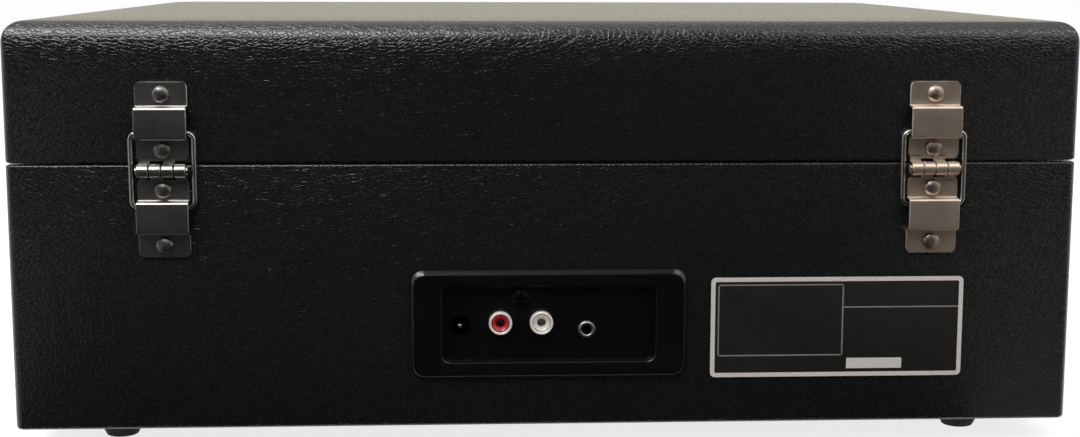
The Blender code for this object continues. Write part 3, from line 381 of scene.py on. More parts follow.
def skin(shape, rings, closed=False, caps=True):
    """Skin rings into a mesh, capped at both ends or closed into a loop."""
    loops = [[shape.verts.new(point) for point in ring] for ring in rings]
    following = loops[1:] + loops[:1] if closed else loops[1:]
    made = []
    for first, second in zip(loops, following):
        for i, vert in enumerate(first):
            j = (i + 1) % len(first)
            made.append(shape.faces.new((vert, first[j], second[j], second[i])))
    if caps and not closed:
        made.append(shape.faces.new(reversed(loops[0])))
        made.append(shape.faces.new(loops[-1]))
    bmesh.ops.recalc_face_normals(shape, faces=made)
    return made


AIMS = {
    "Z": Matrix.Identity(4),
    "X": Matrix.Rotation(math.pi / 2, 4, "Y"),
    "Y": Matrix.Rotation(-math.pi / 2, 4, "X"),
    "-Y": Matrix.Rotation(math.pi / 2, 4, "X"),
}


def add(shape, rings, axis="Z", at=(0, 0, 0), closed=False, caps=True, finish=0):
    """Add a skinned form to a mesh, aimed along an axis from a place."""
    place = Matrix.Translation(at) @ AIMS[axis]
    rings = [[place @ Vector(point) for point in ring] for ring in rings]
    for face in skin(shape, rings, closed, caps):
        face.material_index = finish


def turned(profile, sides=48):
    """Rings of a turned form from its (radius, height) profile."""
    return [circle(max(radius, HAIR / 10), z, sides) for radius, z in profile]


def strip_ring(centre, up, width, thick, ease):
    """Ring of a flat strap's section: a rectangle with eased edges."""
    half = width / 2
    rise = thick / 2
    corners = ((half - ease, -rise), (half, ease - rise), (half, rise - ease), (half - ease, rise))
    section = corners + tuple((-across, -above) for across, above in corners)
    return [centre + ACROSS * across + up * above for across, above in section]


def strap(shape, path, x, width, thick, corner=0.0, round_start=False, round_end=False):
    """Add a bent strap that follows (y, z) points, with round corners at its ends."""
    points = [Vector((x, *point)) for point in path]
    lengths = [0.0]
    for first, second in zip(points, points[1:]):
        lengths.append(lengths[-1] + (second - first).length)
    total = lengths[-1]
    ease = thick * STRAP_EASE
    stations = set(lengths) | {ease, total - ease}
    for step in range(7):
        inset = corner * (1 - math.cos(math.radians(15 * step)))
        if round_start:
            stations.add(inset)
        if round_end:
            stations.add(total - inset)
    rings = []
    for station in sorted(stations):
        index = max(i for i, length in enumerate(lengths[:-1]) if length <= station + TINY)
        first, second = points[index], points[index + 1]
        share = (station - lengths[index]) / (lengths[index + 1] - lengths[index])
        along = (second - first).normalized()
        if share < TINY and index:
            along = (along + (first - points[index - 1]).normalized()).normalized()
        gaps = [station] if round_start else []
        gaps += [total - station] if round_end else []
        gap = min(gaps, default=ease)
        cut_in = 0.0
        if gaps and gap < corner:
            cut_in = corner - math.sqrt(max(corner**2 - (corner - gap) ** 2, 0))
        rise = thick - 2 * max(ease - gap, 0)
        centre = first.lerp(second, share)
        up = ACROSS.cross(along)
        rings.append(strip_ring(centre, up, width - 2 * cut_in, rise, min(ease, rise / 3)))
    add(shape, rings)


def tube(shape, path, radius, sides=14, closed=False, finish=0):
    """Add a round wire along points; a radius may be given for each point."""
    radii = radius if isinstance(radius, (list, tuple)) else [radius] * len(path)
    points = [Vector(point) for point in path]
    count = len(points)
    rings = []
    side_way = None
    for i, point in enumerate(points):
        before = points[i - 1] if closed or i else point
        after = points[(i + 1) % count] if closed or i < count - 1 else point
        along = (after - before).normalized()
        if side_way is None:
            side_way = along.orthogonal().normalized()
        side_way = (side_way - along * side_way.dot(along)).normalized()
        other = along.cross(side_way)
        ring = []
        for side in range(sides):
            angle = 2 * math.pi * side / sides
            offset = side_way * math.cos(angle) + other * math.sin(angle)
            ring.append(point + offset * radii[i])
        rings.append(ring)
    add(shape, rings, closed=closed, finish=finish)


def cutters(item, forms):
    """Cut ringed forms, given as (rings, axis, place), out of a piece."""
    shape = bmesh.new()
    for rings, axis, at in forms:
        add(shape, rings, axis, at)
    mesh = bpy.data.meshes.new("cutter")
    shape.to_mesh(mesh)
    shape.free()
    tool = bpy.data.objects.new("cutter", mesh)
    bpy.context.scene.collection.objects.link(tool)
    step = item.modifiers.new("openings", "BOOLEAN")
    step.object = tool
    step.operation = "DIFFERENCE"
    step.solver = "EXACT"
    graph = bpy.context.evaluated_depsgraph_get()
    result = bpy.data.meshes.new_from_object(item.evaluated_get(graph))
    item.modifiers.clear()
    item.data = result
    bpy.data.objects.remove(tool)
    bpy.data.meshes.remove(mesh)


def smooth(item, angle=32):
    """Shade round faces smooth and keep edges crisp."""
    item.data.shade_smooth()
    item.data.set_sharp_from_angle(angle=math.radians(angle))


def piece(name, shape, body, finishes, stands_for=(), angle=32, openings=()):
    """Turn a mesh under construction into a finished piece that rides on a body."""
    if not shape.faces:
        raise RuntimeError(f"{name} came out empty")
    mesh = bpy.data.meshes.new(name)
    shape.to_mesh(mesh)
    shape.free()
    for finish in finishes:
        mesh.materials.append(finish)
    item = bpy.data.objects.new(name, mesh)
    bpy.context.scene.collection.objects.link(item)
    if openings:
        cutters(item, openings)
    smooth(item, angle)
    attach(item, body)
    if stands_for:
        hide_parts(*stands_for)
    return item


def keep(node, finish):
    """Give a carried-over node its finish."""
    item = frame["nodes"][node]
    for place in item.material_slots:
        place.material = finish
    return item


def spans(node):
    """A node's box: its low corner, high corner, middle and lengths."""
    low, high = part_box(node)
    return low, high, (low + high) / 2, high - low


def middle(node):
    """Middle of a node's box."""
    return spans(node)[2]


def pivot(name):
    """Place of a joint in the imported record."""
    for joint in frame["joints"]:
        if joint["name"] == name:
            return Vector(joint["pos_m"])
    raise RuntimeError(f"no joint {name}")


def mirrored(profile):
    """A profile and its mirror image, which starts at the profile's end."""
    return profile + [(radius, -along) for radius, along in reversed(profile)]


def dome(radius, tall, brim, turn_by, steps=6):
    """Profile of a dome over a brim, whose height is a share of the whole."""
    points = []
    for step in range(1, steps + 1):
        angle = math.radians(turn_by * step)
        height = brim + (1 - brim) * math.sin(angle)
        points.append((radius * math.cos(angle), tall * height))
    return points


def lathe(
    name, profile, sides, at, body, finish, node=None, axis="Z", closed=False, angle=32
):
    """A piece turned from one profile, which may stand for a node."""
    shape = bmesh.new()
    add(shape, turned(profile, sides), axis, at, closed)
    return piece(name, shape, body, (finish,), (node,) if node else (), angle)


def shader_of(name, **sockets):
    """A new material, its node tree and its shader, with the given sockets set."""
    made = bpy.data.materials.new(name)
    made.use_nodes = True
    tree = made.node_tree
    shader = tree.nodes["Principled BSDF"]
    for socket, value in sockets.items():
        shader.inputs[socket.replace("_", " ")].default_value = value
    return made, tree, shader


def mapped(tree, stretch=(1.0, 1.0, 1.0), centre=(0.0, 0.0, 0.0)):
    """Object coordinates from a centre, stretched."""
    coords = tree.nodes.new("ShaderNodeTexCoord")
    mapping = tree.nodes.new("ShaderNodeMapping")
    mapping.inputs["Location"].default_value = [-part for part in centre]
    mapping.inputs["Scale"].default_value = stretch
    tree.links.new(coords.outputs["Object"], mapping.inputs["Vector"])
    return mapping.outputs["Vector"]


def noise(tree, vector, scale, detail=3.0):
    """A noise texture's value over a vector."""
    node = tree.nodes.new("ShaderNodeTexNoise")
    node.inputs["Scale"].default_value = scale
    node.inputs["Detail"].default_value = detail
    node.inputs["Roughness"].default_value = NOISE_ROUGH
    tree.links.new(vector, node.inputs["Vector"])
    return node.outputs["Fac"]


def ramp(tree, value, stops):
    """A colour ramp over a value; stops are (place, colour) pairs."""
    node = tree.nodes.new("ShaderNodeValToRGB")
    points = node.color_ramp.elements
    while len(points) < len(stops):
        points.new(0.5)
    for point, (place, colour) in zip(points, stops):
        point.position = place
        point.color = (*colour, 1.0)
    tree.links.new(value, node.inputs["Fac"])
    return node.outputs["Color"]


def spread(tree, value, low, high, from_low=0.3, from_high=0.7):
    """Spread a value over a new range."""
    node = tree.nodes.new("ShaderNodeMapRange")
    limits = {"From Min": from_low, "From Max": from_high, "To Min": low, "To Max": high}
    for socket, amount in limits.items():
        node.inputs[socket].default_value = amount
    tree.links.new(value, node.inputs["Value"])
    return node.outputs["Result"]


def combine(tree, first, second, operation="ADD"):
    """One value from two."""
    node = tree.nodes.new("ShaderNodeMath")
    node.operation = operation
    for socket, value in zip(node.inputs, (first, second)):
        if isinstance(value, (int, float)):
            socket.default_value = value
        else:
            tree.links.new(value, socket)
    return node.outputs["Value"]


def relief(tree, shader, height, distance):
    """Drive a shader's normal from a height in metres."""
    node = tree.nodes.new("ShaderNodeBump")
    node.inputs["Strength"].default_value = 1.0
    node.inputs["Distance"].default_value = distance
    tree.links.new(height, node.inputs["Height"])
    tree.links.new(node.outputs["Normal"], shader.inputs["Normal"])


def blend(tree, first, share, second, other_share):
    """A sum of two values, each times its share."""
    scaled = combine(tree, first, share, "MULTIPLY")
    return combine(tree, scaled, combine(tree, second, other_share, "MULTIPLY"))


def wave(tree, vector, spacing, wander, **kind):
    """A wave texture's value: rings or bands at a spacing in metres."""
    node = tree.nodes.new("ShaderNodeTexWave")
    for name, value in kind.items():
        setattr(node, name, value)
    node.inputs["Scale"].default_value = WAVE_LENGTH / spacing
    node.inputs["Distortion"].default_value = wander
    tree.links.new(vector, node.inputs["Vector"])
    return node.outputs["Fac"]


def dress(tree, shader, tone, stops, rough=None):
    """Drive a shader's colour from a tone, and its roughness as well where a range is given."""
    tree.links.new(ramp(tree, tone, stops), shader.inputs["Base Color"])
    if rough:
        tree.links.new(spread(tree, tone, *rough), shader.inputs["Roughness"])


def shade(colour, factor):
    """A colour made lighter or darker."""
    return tuple(min(channel * factor, 1.0) for channel in colour)


def grained(
    name, colour, rough, scale=1400.0, stretch=(1, 1, 1), depth=0.00003, vary=0.35, **sockets
):
    """A finish with fine grain and a slow change of tone, for mouldings and metal."""
    made, tree, shader = shader_of(name, **sockets)
    fine = noise(tree, mapped(tree, stretch), scale, 4.0)
    slow = noise(tree, mapped(tree), scale / GRAIN_TO_TONE, 2.0)
    tone = blend(tree, fine, 0.6, slow, 0.4)
    stops = ((0.3, shade(colour, 1 - vary)), (0.7, shade(colour, 1 + vary)))
    dress(tree, shader, tone, stops, (rough * 0.85, rough * 1.2))
    relief(tree, shader, fine, depth)
    return made


def moulded(name, colour, rough, depth, gloss, vary=0.2):
    """A fine grained plastic of the rear panel."""
    return grained(
        name, colour, rough, 2200.0, depth=depth, vary=vary, Specular_IOR_Level=gloss
    )


def plated(name, colour, rough):
    """A plated metal with its grain drawn upright."""
    return grained(name, colour, rough, 1800.0, (1, 1, 0.2), 0.000006, 0.12, Metallic=1.0)


def ringed(name, colour, rough, spacing, depth=0.00002, centre=(0, 0, 0), **sockets):
    """A turned finish with fine rings about an upright axis through a centre."""
    made, tree, shader = shader_of(name, **sockets)
    vector = mapped(tree, centre=centre)
    rings = wave(tree, vector, spacing, 0.6, wave_type="RINGS", rings_direction="Z")
    speck = noise(tree, vector, 900.0)
    tone = combine(tree, combine(tree, rings, 0.35, "MULTIPLY"), speck)
    stops = ((0.4, shade(colour, 0.75)), (0.9, shade(colour, 1.2)))
    dress(tree, shader, tone, stops, (rough * 0.85, rough * 1.15, 0.4, 0.9))
    relief(tree, shader, rings, depth)
    return made


def woven(name, colour, thread):
    """A plain weave of crossed threads."""
    made, tree, shader = shader_of(name, Roughness=0.85, Specular_IOR_Level=0.2)
    vector = mapped(tree)
    bands = [wave(tree, vector, thread, 0.4, bands_direction=way) for way in ("X", "Z")]
    height = combine(tree, *bands, "MULTIPLY")
    dress(tree, shader, height, ((0.0, shade(colour, 0.3)), (0.6, shade(colour, 1.3))))
    relief(tree, shader, height, WEAVE_DEPTH)
    return made


def leatherette(name, sizes):
    """Pebbled covering: rounded pebbles parted by creases, drawn out level with the floor."""
    made, tree, shader = shader_of(
        name,
        Specular_IOR_Level=0.68,
        Sheen_Weight=0.1,
        Sheen_Roughness=0.2,
        Sheen_Tint=(1.0, 0.93, 0.78, 1.0),
    )
    vector = mapped(tree, PEBBLE_STRETCH)
    wander = tree.nodes.new("ShaderNodeTexNoise")
    wander.inputs["Scale"].default_value = 0.35 / sizes.pebble
    wander.inputs["Detail"].default_value = 2.0
    tree.links.new(vector, wander.inputs["Vector"])
    wavy = tree.nodes.new("ShaderNodeVectorMath")
    wavy.operation = "MULTIPLY_ADD"
    wavy.inputs[1].default_value = (sizes.pebble * 1.4,) * 3
    tree.links.new(wander.outputs["Color"], wavy.inputs[0])
    tree.links.new(vector, wavy.inputs[2])
    cells = tree.nodes.new("ShaderNodeTexVoronoi")
    cells.feature = "DISTANCE_TO_EDGE"
    cells.inputs["Scale"].default_value = 1 / sizes.pebble
    tree.links.new(wavy.outputs["Vector"], cells.inputs["Vector"])
    pebble = spread(tree, cells.outputs["Distance"], 0.0, 1.0, 0.0, CREASE_WIDTH)
    fine = noise(tree, vector, 4.5 / sizes.pebble, 3.0)
    slow = noise(tree, mapped(tree), 9.0, 3.0)
    height = combine(tree, pebble, combine(tree, fine, 0.08, "MULTIPLY"))
    tone = blend(tree, pebble, 0.55, slow, 0.45)
    # Colour: painted shade darkens the creases against lighter pebble tops, mixed with a slow
    # random change of tone.
    stops = ((0.1, sizes.crease_painted_shade), (0.55, sizes.cover), (0.95, shade(sizes.cover, 1.5)))
    dress(tree, shader, tone, stops)
    tree.links.new(spread(tree, height, 0.3, 0.22, 0.1, 1.0), shader.inputs["Roughness"])
    relief(tree, shader, height, sizes.pebble_depth)
    return made


class PLAYER_OT_stage(bpy.types.Operator):
    """Set up the camera, the floor and the soft light"""

    bl_idname = "player.stage"
    bl_label = "Stage"

    def execute(self, context):
        """Make the stage."""
        stage = context.scene.player_stage
        self.camera(context, stage)
        self.floor(context, stage)
        self.cards(context)
        self.lamps(context)
        self.surround(context, stage)
        context.scene.view_settings.view_transform = "Standard"
        return {"FINISHED"}

    def camera(self, context, stage):
        """The camera at the photograph's viewing angle."""
        level = math.cos(stage.pitch)
        ahead = Vector(
            (-math.sin(stage.yaw) * level, -math.cos(stage.yaw) * level, -math.sin(stage.pitch))
        )
        right = Vector((-math.cos(stage.yaw), math.sin(stage.yaw), 0))
        up = right.cross(ahead)
        lean = Matrix.Rotation(-stage.roll, 3, ahead)
        axes = Matrix((lean @ right, lean @ up, -ahead)).transposed()
        width, height = stage.frame_px
        data = bpy.data.cameras.new("photo_camera")
        data.sensor_width = SENSOR_MM
        data.lens = SENSOR_MM * stage.focal_px / width
        data.shift_x = (width / 2 - stage.centre_px[0]) / width
        data.shift_y = (stage.centre_px[1] - height / 2) / width
        data.clip_start = 0.01
        camera = bpy.data.objects.new("photo_camera", data)
        camera.matrix_world = Matrix.Translation(stage.camera_at) @ axes.to_4x4()
        context.scene.collection.objects.link(camera)
        context.scene.camera = camera

    def seen(self, tree):
        """A value of 1 for rays from the camera, from gloss and through glass."""
        path = tree.nodes.new("ShaderNodeLightPath")
        looks = combine(tree, path.outputs["Is Camera Ray"], path.outputs["Is Glossy Ray"])
        return combine(tree, looks, path.outputs["Is Transmission Ray"])

    def sheets(self, context, name, outlines, finish):
        """A flat object of the stage, from the corners of its sheets."""
        shape = bmesh.new()
        for corners in outlines:
            shape.faces.new([shape.verts.new(corner) for corner in corners])
        mesh = bpy.data.meshes.new(name)
        shape.to_mesh(mesh)
        shape.free()
        mesh.materials.append(finish)
        item = bpy.data.objects.new(name, mesh)
        context.scene.collection.objects.link(item)
        return item

    def floor(self, context, stage):
        """A plain pale floor that shows white and keeps the shadow."""
        made, tree, shader = shader_of("pale_floor", Roughness=0.9, Specular_IOR_Level=0.0)
        speck = noise(tree, mapped(tree), 40.0)
        dress(tree, shader, speck, ((0.3, shade(stage.floor, 0.97)), (0.7, stage.floor)))
        shader.inputs["Emission Color"].default_value = (*stage.backdrop, 1.0)
        glow = combine(tree, self.seen(tree), FLOOR_GLOW, "MULTIPLY")
        tree.links.new(glow, shader.inputs["Emission Strength"])
        self.sheets(context, "floor", (FLOOR,), made)

    def cards(self, context):
        """Cards out of shot: dark before the black case, grey to its sides, warm behind its lid."""
        for name, outlines, colour, glow in CARDS:
            made, tree, shader = shader_of(f"{name}_felt", Roughness=1.0, Specular_IOR_Level=0.0)
            speck = noise(tree, mapped(tree), 60.0)
            tone = ramp(tree, speck, ((0.3, shade(colour, 0.97)), (0.7, colour)))
            shader.inputs["Base Color"].default_value = (0.016, 0.016, 0.016, 1.0)
            tree.links.new(tone, shader.inputs["Emission Color"])
            shader.inputs["Emission Strength"].default_value = glow
            self.for_gloss(self.sheets(context, name, outlines, made))

    def for_gloss(self, item):
        """Let only gloss see a card, so that it lights nothing and casts no shadow."""
        item.visible_camera = False
        item.visible_diffuse = False
        item.visible_transmission = False
        item.visible_shadow = False

    def lamps(self, context):
        """Soft lamps that face the case."""
        for name, at, spread_by, power, colour in LAMPS:
            data = bpy.data.lights.new(name, "AREA")
            data.shape = "RECTANGLE"
            data.size, data.size_y = spread_by
            data.energy = power
            data.color = colour
            item = bpy.data.objects.new(name, data)
            way = (Vector(LAMP_AIM) - Vector(at)).to_track_quat("-Z", "Y")
            item.matrix_world = Matrix.Translation(at) @ way.to_matrix().to_4x4()
            context.scene.collection.objects.link(item)

    def surround(self, context, stage):
        """A surround that shows white and lights softly."""
        world = bpy.data.worlds.new("white_surround")
        world.use_nodes = True
        tree = world.node_tree
        soft = tree.nodes["Background"]
        soft.inputs["Color"].default_value = (*stage.backdrop, 1.0)
        soft.inputs["Strength"].default_value = SURROUND_LIGHT
        white = tree.nodes.new("ShaderNodeBackground")
        white.inputs["Color"].default_value = (*stage.backdrop, 1.0)
        mix = tree.nodes.new("ShaderNodeMixShader")
        tree.links.new(self.seen(tree), mix.inputs["Fac"])
        tree.links.new(soft.outputs["Background"], mix.inputs[1])
        tree.links.new(white.outputs["Background"], mix.inputs[2])
        tree.links.new(mix.outputs["Shader"], tree.nodes["World Output"].inputs["Surface"])
        context.scene.world = world


class PLAYER_OT_case(bpy.types.Operator):
    """Cover the base and the lid, and line them"""

    bl_idname = "player.case"
    bl_label = "Case"

    def execute(self, context):
        """Make both halves of the case and finish the bottom board."""
        sizes = context.scene.player_case
        cover = leatherette("pebbled_covering", sizes)
        lining = grained("flocked_lining", sizes.lining, 0.9, 2600.0, depth=0.00008)
        self.base(sizes, cover, lining)
        self.lid(sizes, cover, lining)
        board = grained("fibreboard", sizes.board, 0.75, 700.0, (1, 4, 4), 0.0001)
        keep("bottom_board", board)
        return {"FINISHED"}

    def base(self, sizes, cover, lining):
        """The base: a covered wall with a rim, a ledge for the deck and its openings."""
        low, high, at, span = spans("base_shell")
        corner = sizes.corner_r
        rim = sizes.rim_edge_r
        outer = eased(span.x, span.y, low.z, high.z, sizes.base_edge_r, rim, corner)
        wide, deep = span.x - 2 * sizes.wall, span.y - 2 * sizes.wall
        board = spans("bottom_board")[3]
        ledge_w, ledge_d = board.x + 2 * HAIR, board.y + 2 * HAIR
        ledge_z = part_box("deck_plate")[0].z - HAIR
        inner = [
            rounded(wide + 2 * rim, deep + 2 * rim, corner, high.z),
            rounded(wide, deep, corner / 2, high.z - rim),
            rounded(wide, deep, corner / 2, ledge_z),
            rounded(ledge_w, ledge_d, HAIR, ledge_z),
            rounded(ledge_w, ledge_d, HAIR, low.z),
        ]
        shape = bmesh.new()
        add(shape, outer + inner, at=(at.x, at.y, 0), closed=True)
        self.line(shape, at, wide, deep)
        openings = []
        for side in SIDES:
            _, _, hole, speaker = spans(f"speaker_{side}")
            radius = speaker.x / 2 * SPEAKER_HOLE
            start = (hole.x, low.y - sizes.wall, hole.z)
            openings.append((turned(((radius, 0), (radius, 4 * sizes.wall))), "Y", start))
        _, _, panel, window = spans("jack_panel")
        start = (0, high.y - 3 * sizes.wall, panel.z)
        window = window * PANEL_WINDOW
        rings = [rounded(window.x, window.z, HAIR, z) for z in (0, 4 * sizes.wall)]
        openings.append((rings, "Y", start))
        finishes = (cover, lining)
        piece(
            "base_covering", shape, "base", finishes, ("base_shell",), openings=openings
        )

    def lid(self, sizes, cover, lining):
        """The lid: a covered tray with a soft bend over its front and rear edges."""
        low, high, at, span = spans("lid_shell")
        corner = sizes.corner_r
        rim = sizes.rim_edge_r
        rings = edge(span.x, span.y, corner, rim, low.z + rim, 270, 180, 8)
        ends = bent((LID_CROWN, (sizes.lid_edge_r, LID_CROWN[2], 0)))
        for inset, drop in bent((LID_CROWN, *LID_BENDS)):
            side = inset_at(ends, drop)
            tight = corner - max(side, inset)
            rings.append(rounded(span.x - 2 * side, span.y - 2 * inset, tight, high.z - drop))
        wide, deep = span.x - 2 * sizes.wall, span.y - 2 * sizes.wall
        roof = high.z - sizes.lid_top
        ease = 2 * rim
        hollow = [
            rounded(wide - 2 * ease, deep - 2 * ease, corner, roof),
            rounded(wide, deep, corner, roof - ease),
            rounded(wide, deep, corner, low.z + rim),
            rounded(wide + 2 * rim, deep + 2 * rim, corner, low.z),
        ]
        shape = bmesh.new()
        add(shape, hollow + rings, at=(at.x, at.y, 0))
        self.line(shape, at, wide, deep, roof)
        piece("lid_covering", shape, "lid", (cover, lining), ("lid_shell",))

    def line(self, shape, at, wide, deep, roof=math.inf):
        """Give the lining, the second finish, to the faces inside the walls and below a roof."""
        for face in shape.faces:
            spot = face.calc_center_median()
            within = abs(spot.x) < wide / 2 + HAIR and abs(spot.y - at.y) < deep / 2 + HAIR
            face.material_index = 1 if within and spot.z < roof + HAIR else 0


class PLAYER_OT_feet(bpy.types.Operator):
    """Turn the four rubber feet"""

    bl_idname = "player.feet"
    bl_label = "Feet"

    def execute(self, context):
        """Make the feet under the bottom board."""
        rubber = grained("foot_rubber", context.scene.player_case.rubber, 0.75, 1800.0)
        for node in [f"foot_{end}_{side}" for end in ENDS for side in SIDES]:
            low, _, at, span = spans(node)
            top_r = span.x / 2
            end_r = top_r * FOOT_TAPER
            lip = span.z / 18
            profile = [(end_r * 0.35, span.z / 3), (end_r * 0.45, lip / 2), (end_r * 0.6, 0)]
            profile += arc((end_r - lip, lip), lip, 270, 350)
            profile += arc((top_r - lip / 2, span.z - lip / 2), lip / 2, 0, 90, 3)
            place = (at.x, at.y, low.z)
            lathe(f"{node}_rubber", profile, 40, place, "base", rubber, node)
        return {"FINISHED"}


class PLAYER_OT_hinges(bpy.types.Operator):
    """Press the hinge leaves, roll their knuckles and bend the check loops"""

    bl_idname = "player.hinges"
    bl_label = "Hinges"

    def execute(self, context):
        """Make both rear hinges."""
        sizes = context.scene.player_hinges
        # Each hinge's colour carries painted light (left lighter, right darker), though both hinges
        # are one steel.
        metals = {"left": (sizes.left_metal_painted_light, 0.4), "right": (sizes.right_metal_painted_shade, 0.3)}
        brushed = (1, 1, 0.1)
        wire = grained("loop_wire", sizes.wire, 0.26, 1500.0, brushed, 0.000008, 0.25, Metallic=1.0)
        self.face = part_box("base_shell")[1].y
        for side, (colour, rough) in metals.items():
            drawn = (0.04, 1, 1)
            metal = grained(
                f"{side}_leaf_steel_painted_light", colour, rough, 6000.0, drawn, 0.000002, 0.06, Metallic=1.0
            )
            # Rivet colour: its hinge's colour made darker, so it carries the same painted light.
            dull = shade(colour, 0.55)
            rivet = grained(
                f"{side}_rivet_steel_painted_light", dull, 0.38, 1000.0, depth=0.00008, vary=0.5, Metallic=1.0
            )
            self.axis = middle(f"hinge_pin_{side}")
            self.leaf(side, "lower", -1, "base", sizes, metal, rivet)
            self.leaf(side, "upper", 1, "lid", sizes, metal, rivet)
            self.pin(side, metal)
            self.loop(side, wire)
        return {"FINISHED"}

    def leaf(self, side, level, up, body, sizes, metal, rivet):
        """One leaf: a flat, a tunnel over the loop's bar, a flat, and two knuckle rolls."""
        node = f"hinge_{level}_leaf_{side}"
        low, high, at, span = spans(node)
        thick = sizes.strap
        floor = self.face + HAIR + thick / 2
        reach = max(abs(high.z - self.axis.z), abs(low.z - self.axis.z))
        path = self.profile(sizes.bend_r, floor, floor - HAIR + TUNNEL_RISE, reach)
        path = [(y, self.axis.z + up * away) for away, y in path]
        shape = bmesh.new()
        strap(shape, path, at.x, span.x, thick, sizes.corner_r, True, True)
        segment = KNUCKLE_LEN / 4
        for index in (1, 3) if up > 0 else (0, 2):
            x = self.axis.x - KNUCKLE_LEN / 2 + segment * (index + 0.5)
            strap(shape, self.roll(up, floor, thick), x, segment - HAIR, thick)
        piece(f"{node}_strap", shape, body, (metal,), (node,), 40)
        near = (LEAF_START + TUNNEL_START) / 2
        far = (TUNNEL_END + reach) / 2
        for place, away in (("near", near), ("far", far)):
            spot = (at.x, floor + thick / 2, self.axis.z + up * away)
            self.rivet(f"rivet_{level}_{side}_{place}", spot, body, sizes, rivet)

    def profile(self, bend, floor, roof, reach):
        """Leaf section as (distance from the axis, y), with its four bends rounded."""
        tilt = min(bend, (roof - floor) / 2)
        path = [(LEAF_START, floor)]
        path += arc((TUNNEL_START - tilt, floor + tilt), tilt, 270, 360)
        path += arc((TUNNEL_START + tilt, roof - tilt), tilt, 180, 90)
        path += arc((TUNNEL_END - tilt, roof - tilt), tilt, 90, 0)
        path += arc((TUNNEL_END + tilt, floor + tilt), tilt, 180, 270)
        path.append((reach, floor))
        return path

    def roll(self, up, floor, thick):
        """Path of a knuckle: out from the leaf's edge over the pin, then round it."""
        radius = KNUCKLE_R - thick / 2
        ease = thick / 2
        tuck = radius * 1.1
        path = [(floor, LEAF_START + 2 * thick)]
        path += arc((floor + ease, tuck + ease), ease, 180, 270, 4)
        path += arc((self.axis.y, 0), radius, 98, -200, 28)
        return [(y, self.axis.z + up * away) for y, away in path]

    def rivet(self, name, at, body, sizes, finish):
        """A rivet's dome with a soft flat on its crown."""
        brim = 0.12
        profile = [(sizes.rivet_r, -HAIR), (sizes.rivet_r, sizes.rivet_h * brim)]
        profile += dome(sizes.rivet_r, sizes.rivet_h, brim, 14)
        lathe(name, profile, 24, at, body, finish, axis="Y", angle=60)

    def pin(self, side, metal):
        """The hinge pin, with a small upset head at each end."""
        node = f"hinge_pin_{side}"
        span = spans(node)[3]
        radius, half = span.z / 2, span.x / 2
        head_r = radius * 1.25
        profile = [(radius * 0.6, -half - PIN_HEAD), (head_r, -half - PIN_HEAD * 0.6)]
        profile = mirrored(profile + [(head_r, -half), (radius, -half)])
        name = f"{node}_rod"
        lathe(name, profile, 24, self.axis, f"{side}_pin", metal, node, "X")

    def loop(self, side, wire):
        """The check loop: one wire bent to a rectangle, with round corners."""
        node = f"check_loop_{side}"
        at, span = spans(node)[2:]
        flat = rounded(span.x - span.y, span.z - span.y, LOOP_CORNER_R, 0, 8)
        path = [(at.x + x, at.y, at.z + z) for x, z, _ in flat]
        shape = bmesh.new()
        tube(shape, path, span.y / 2, 16, True)
        piece(f"{node}_wire", shape, f"{side}_loop", (wire,), (node,), 60)


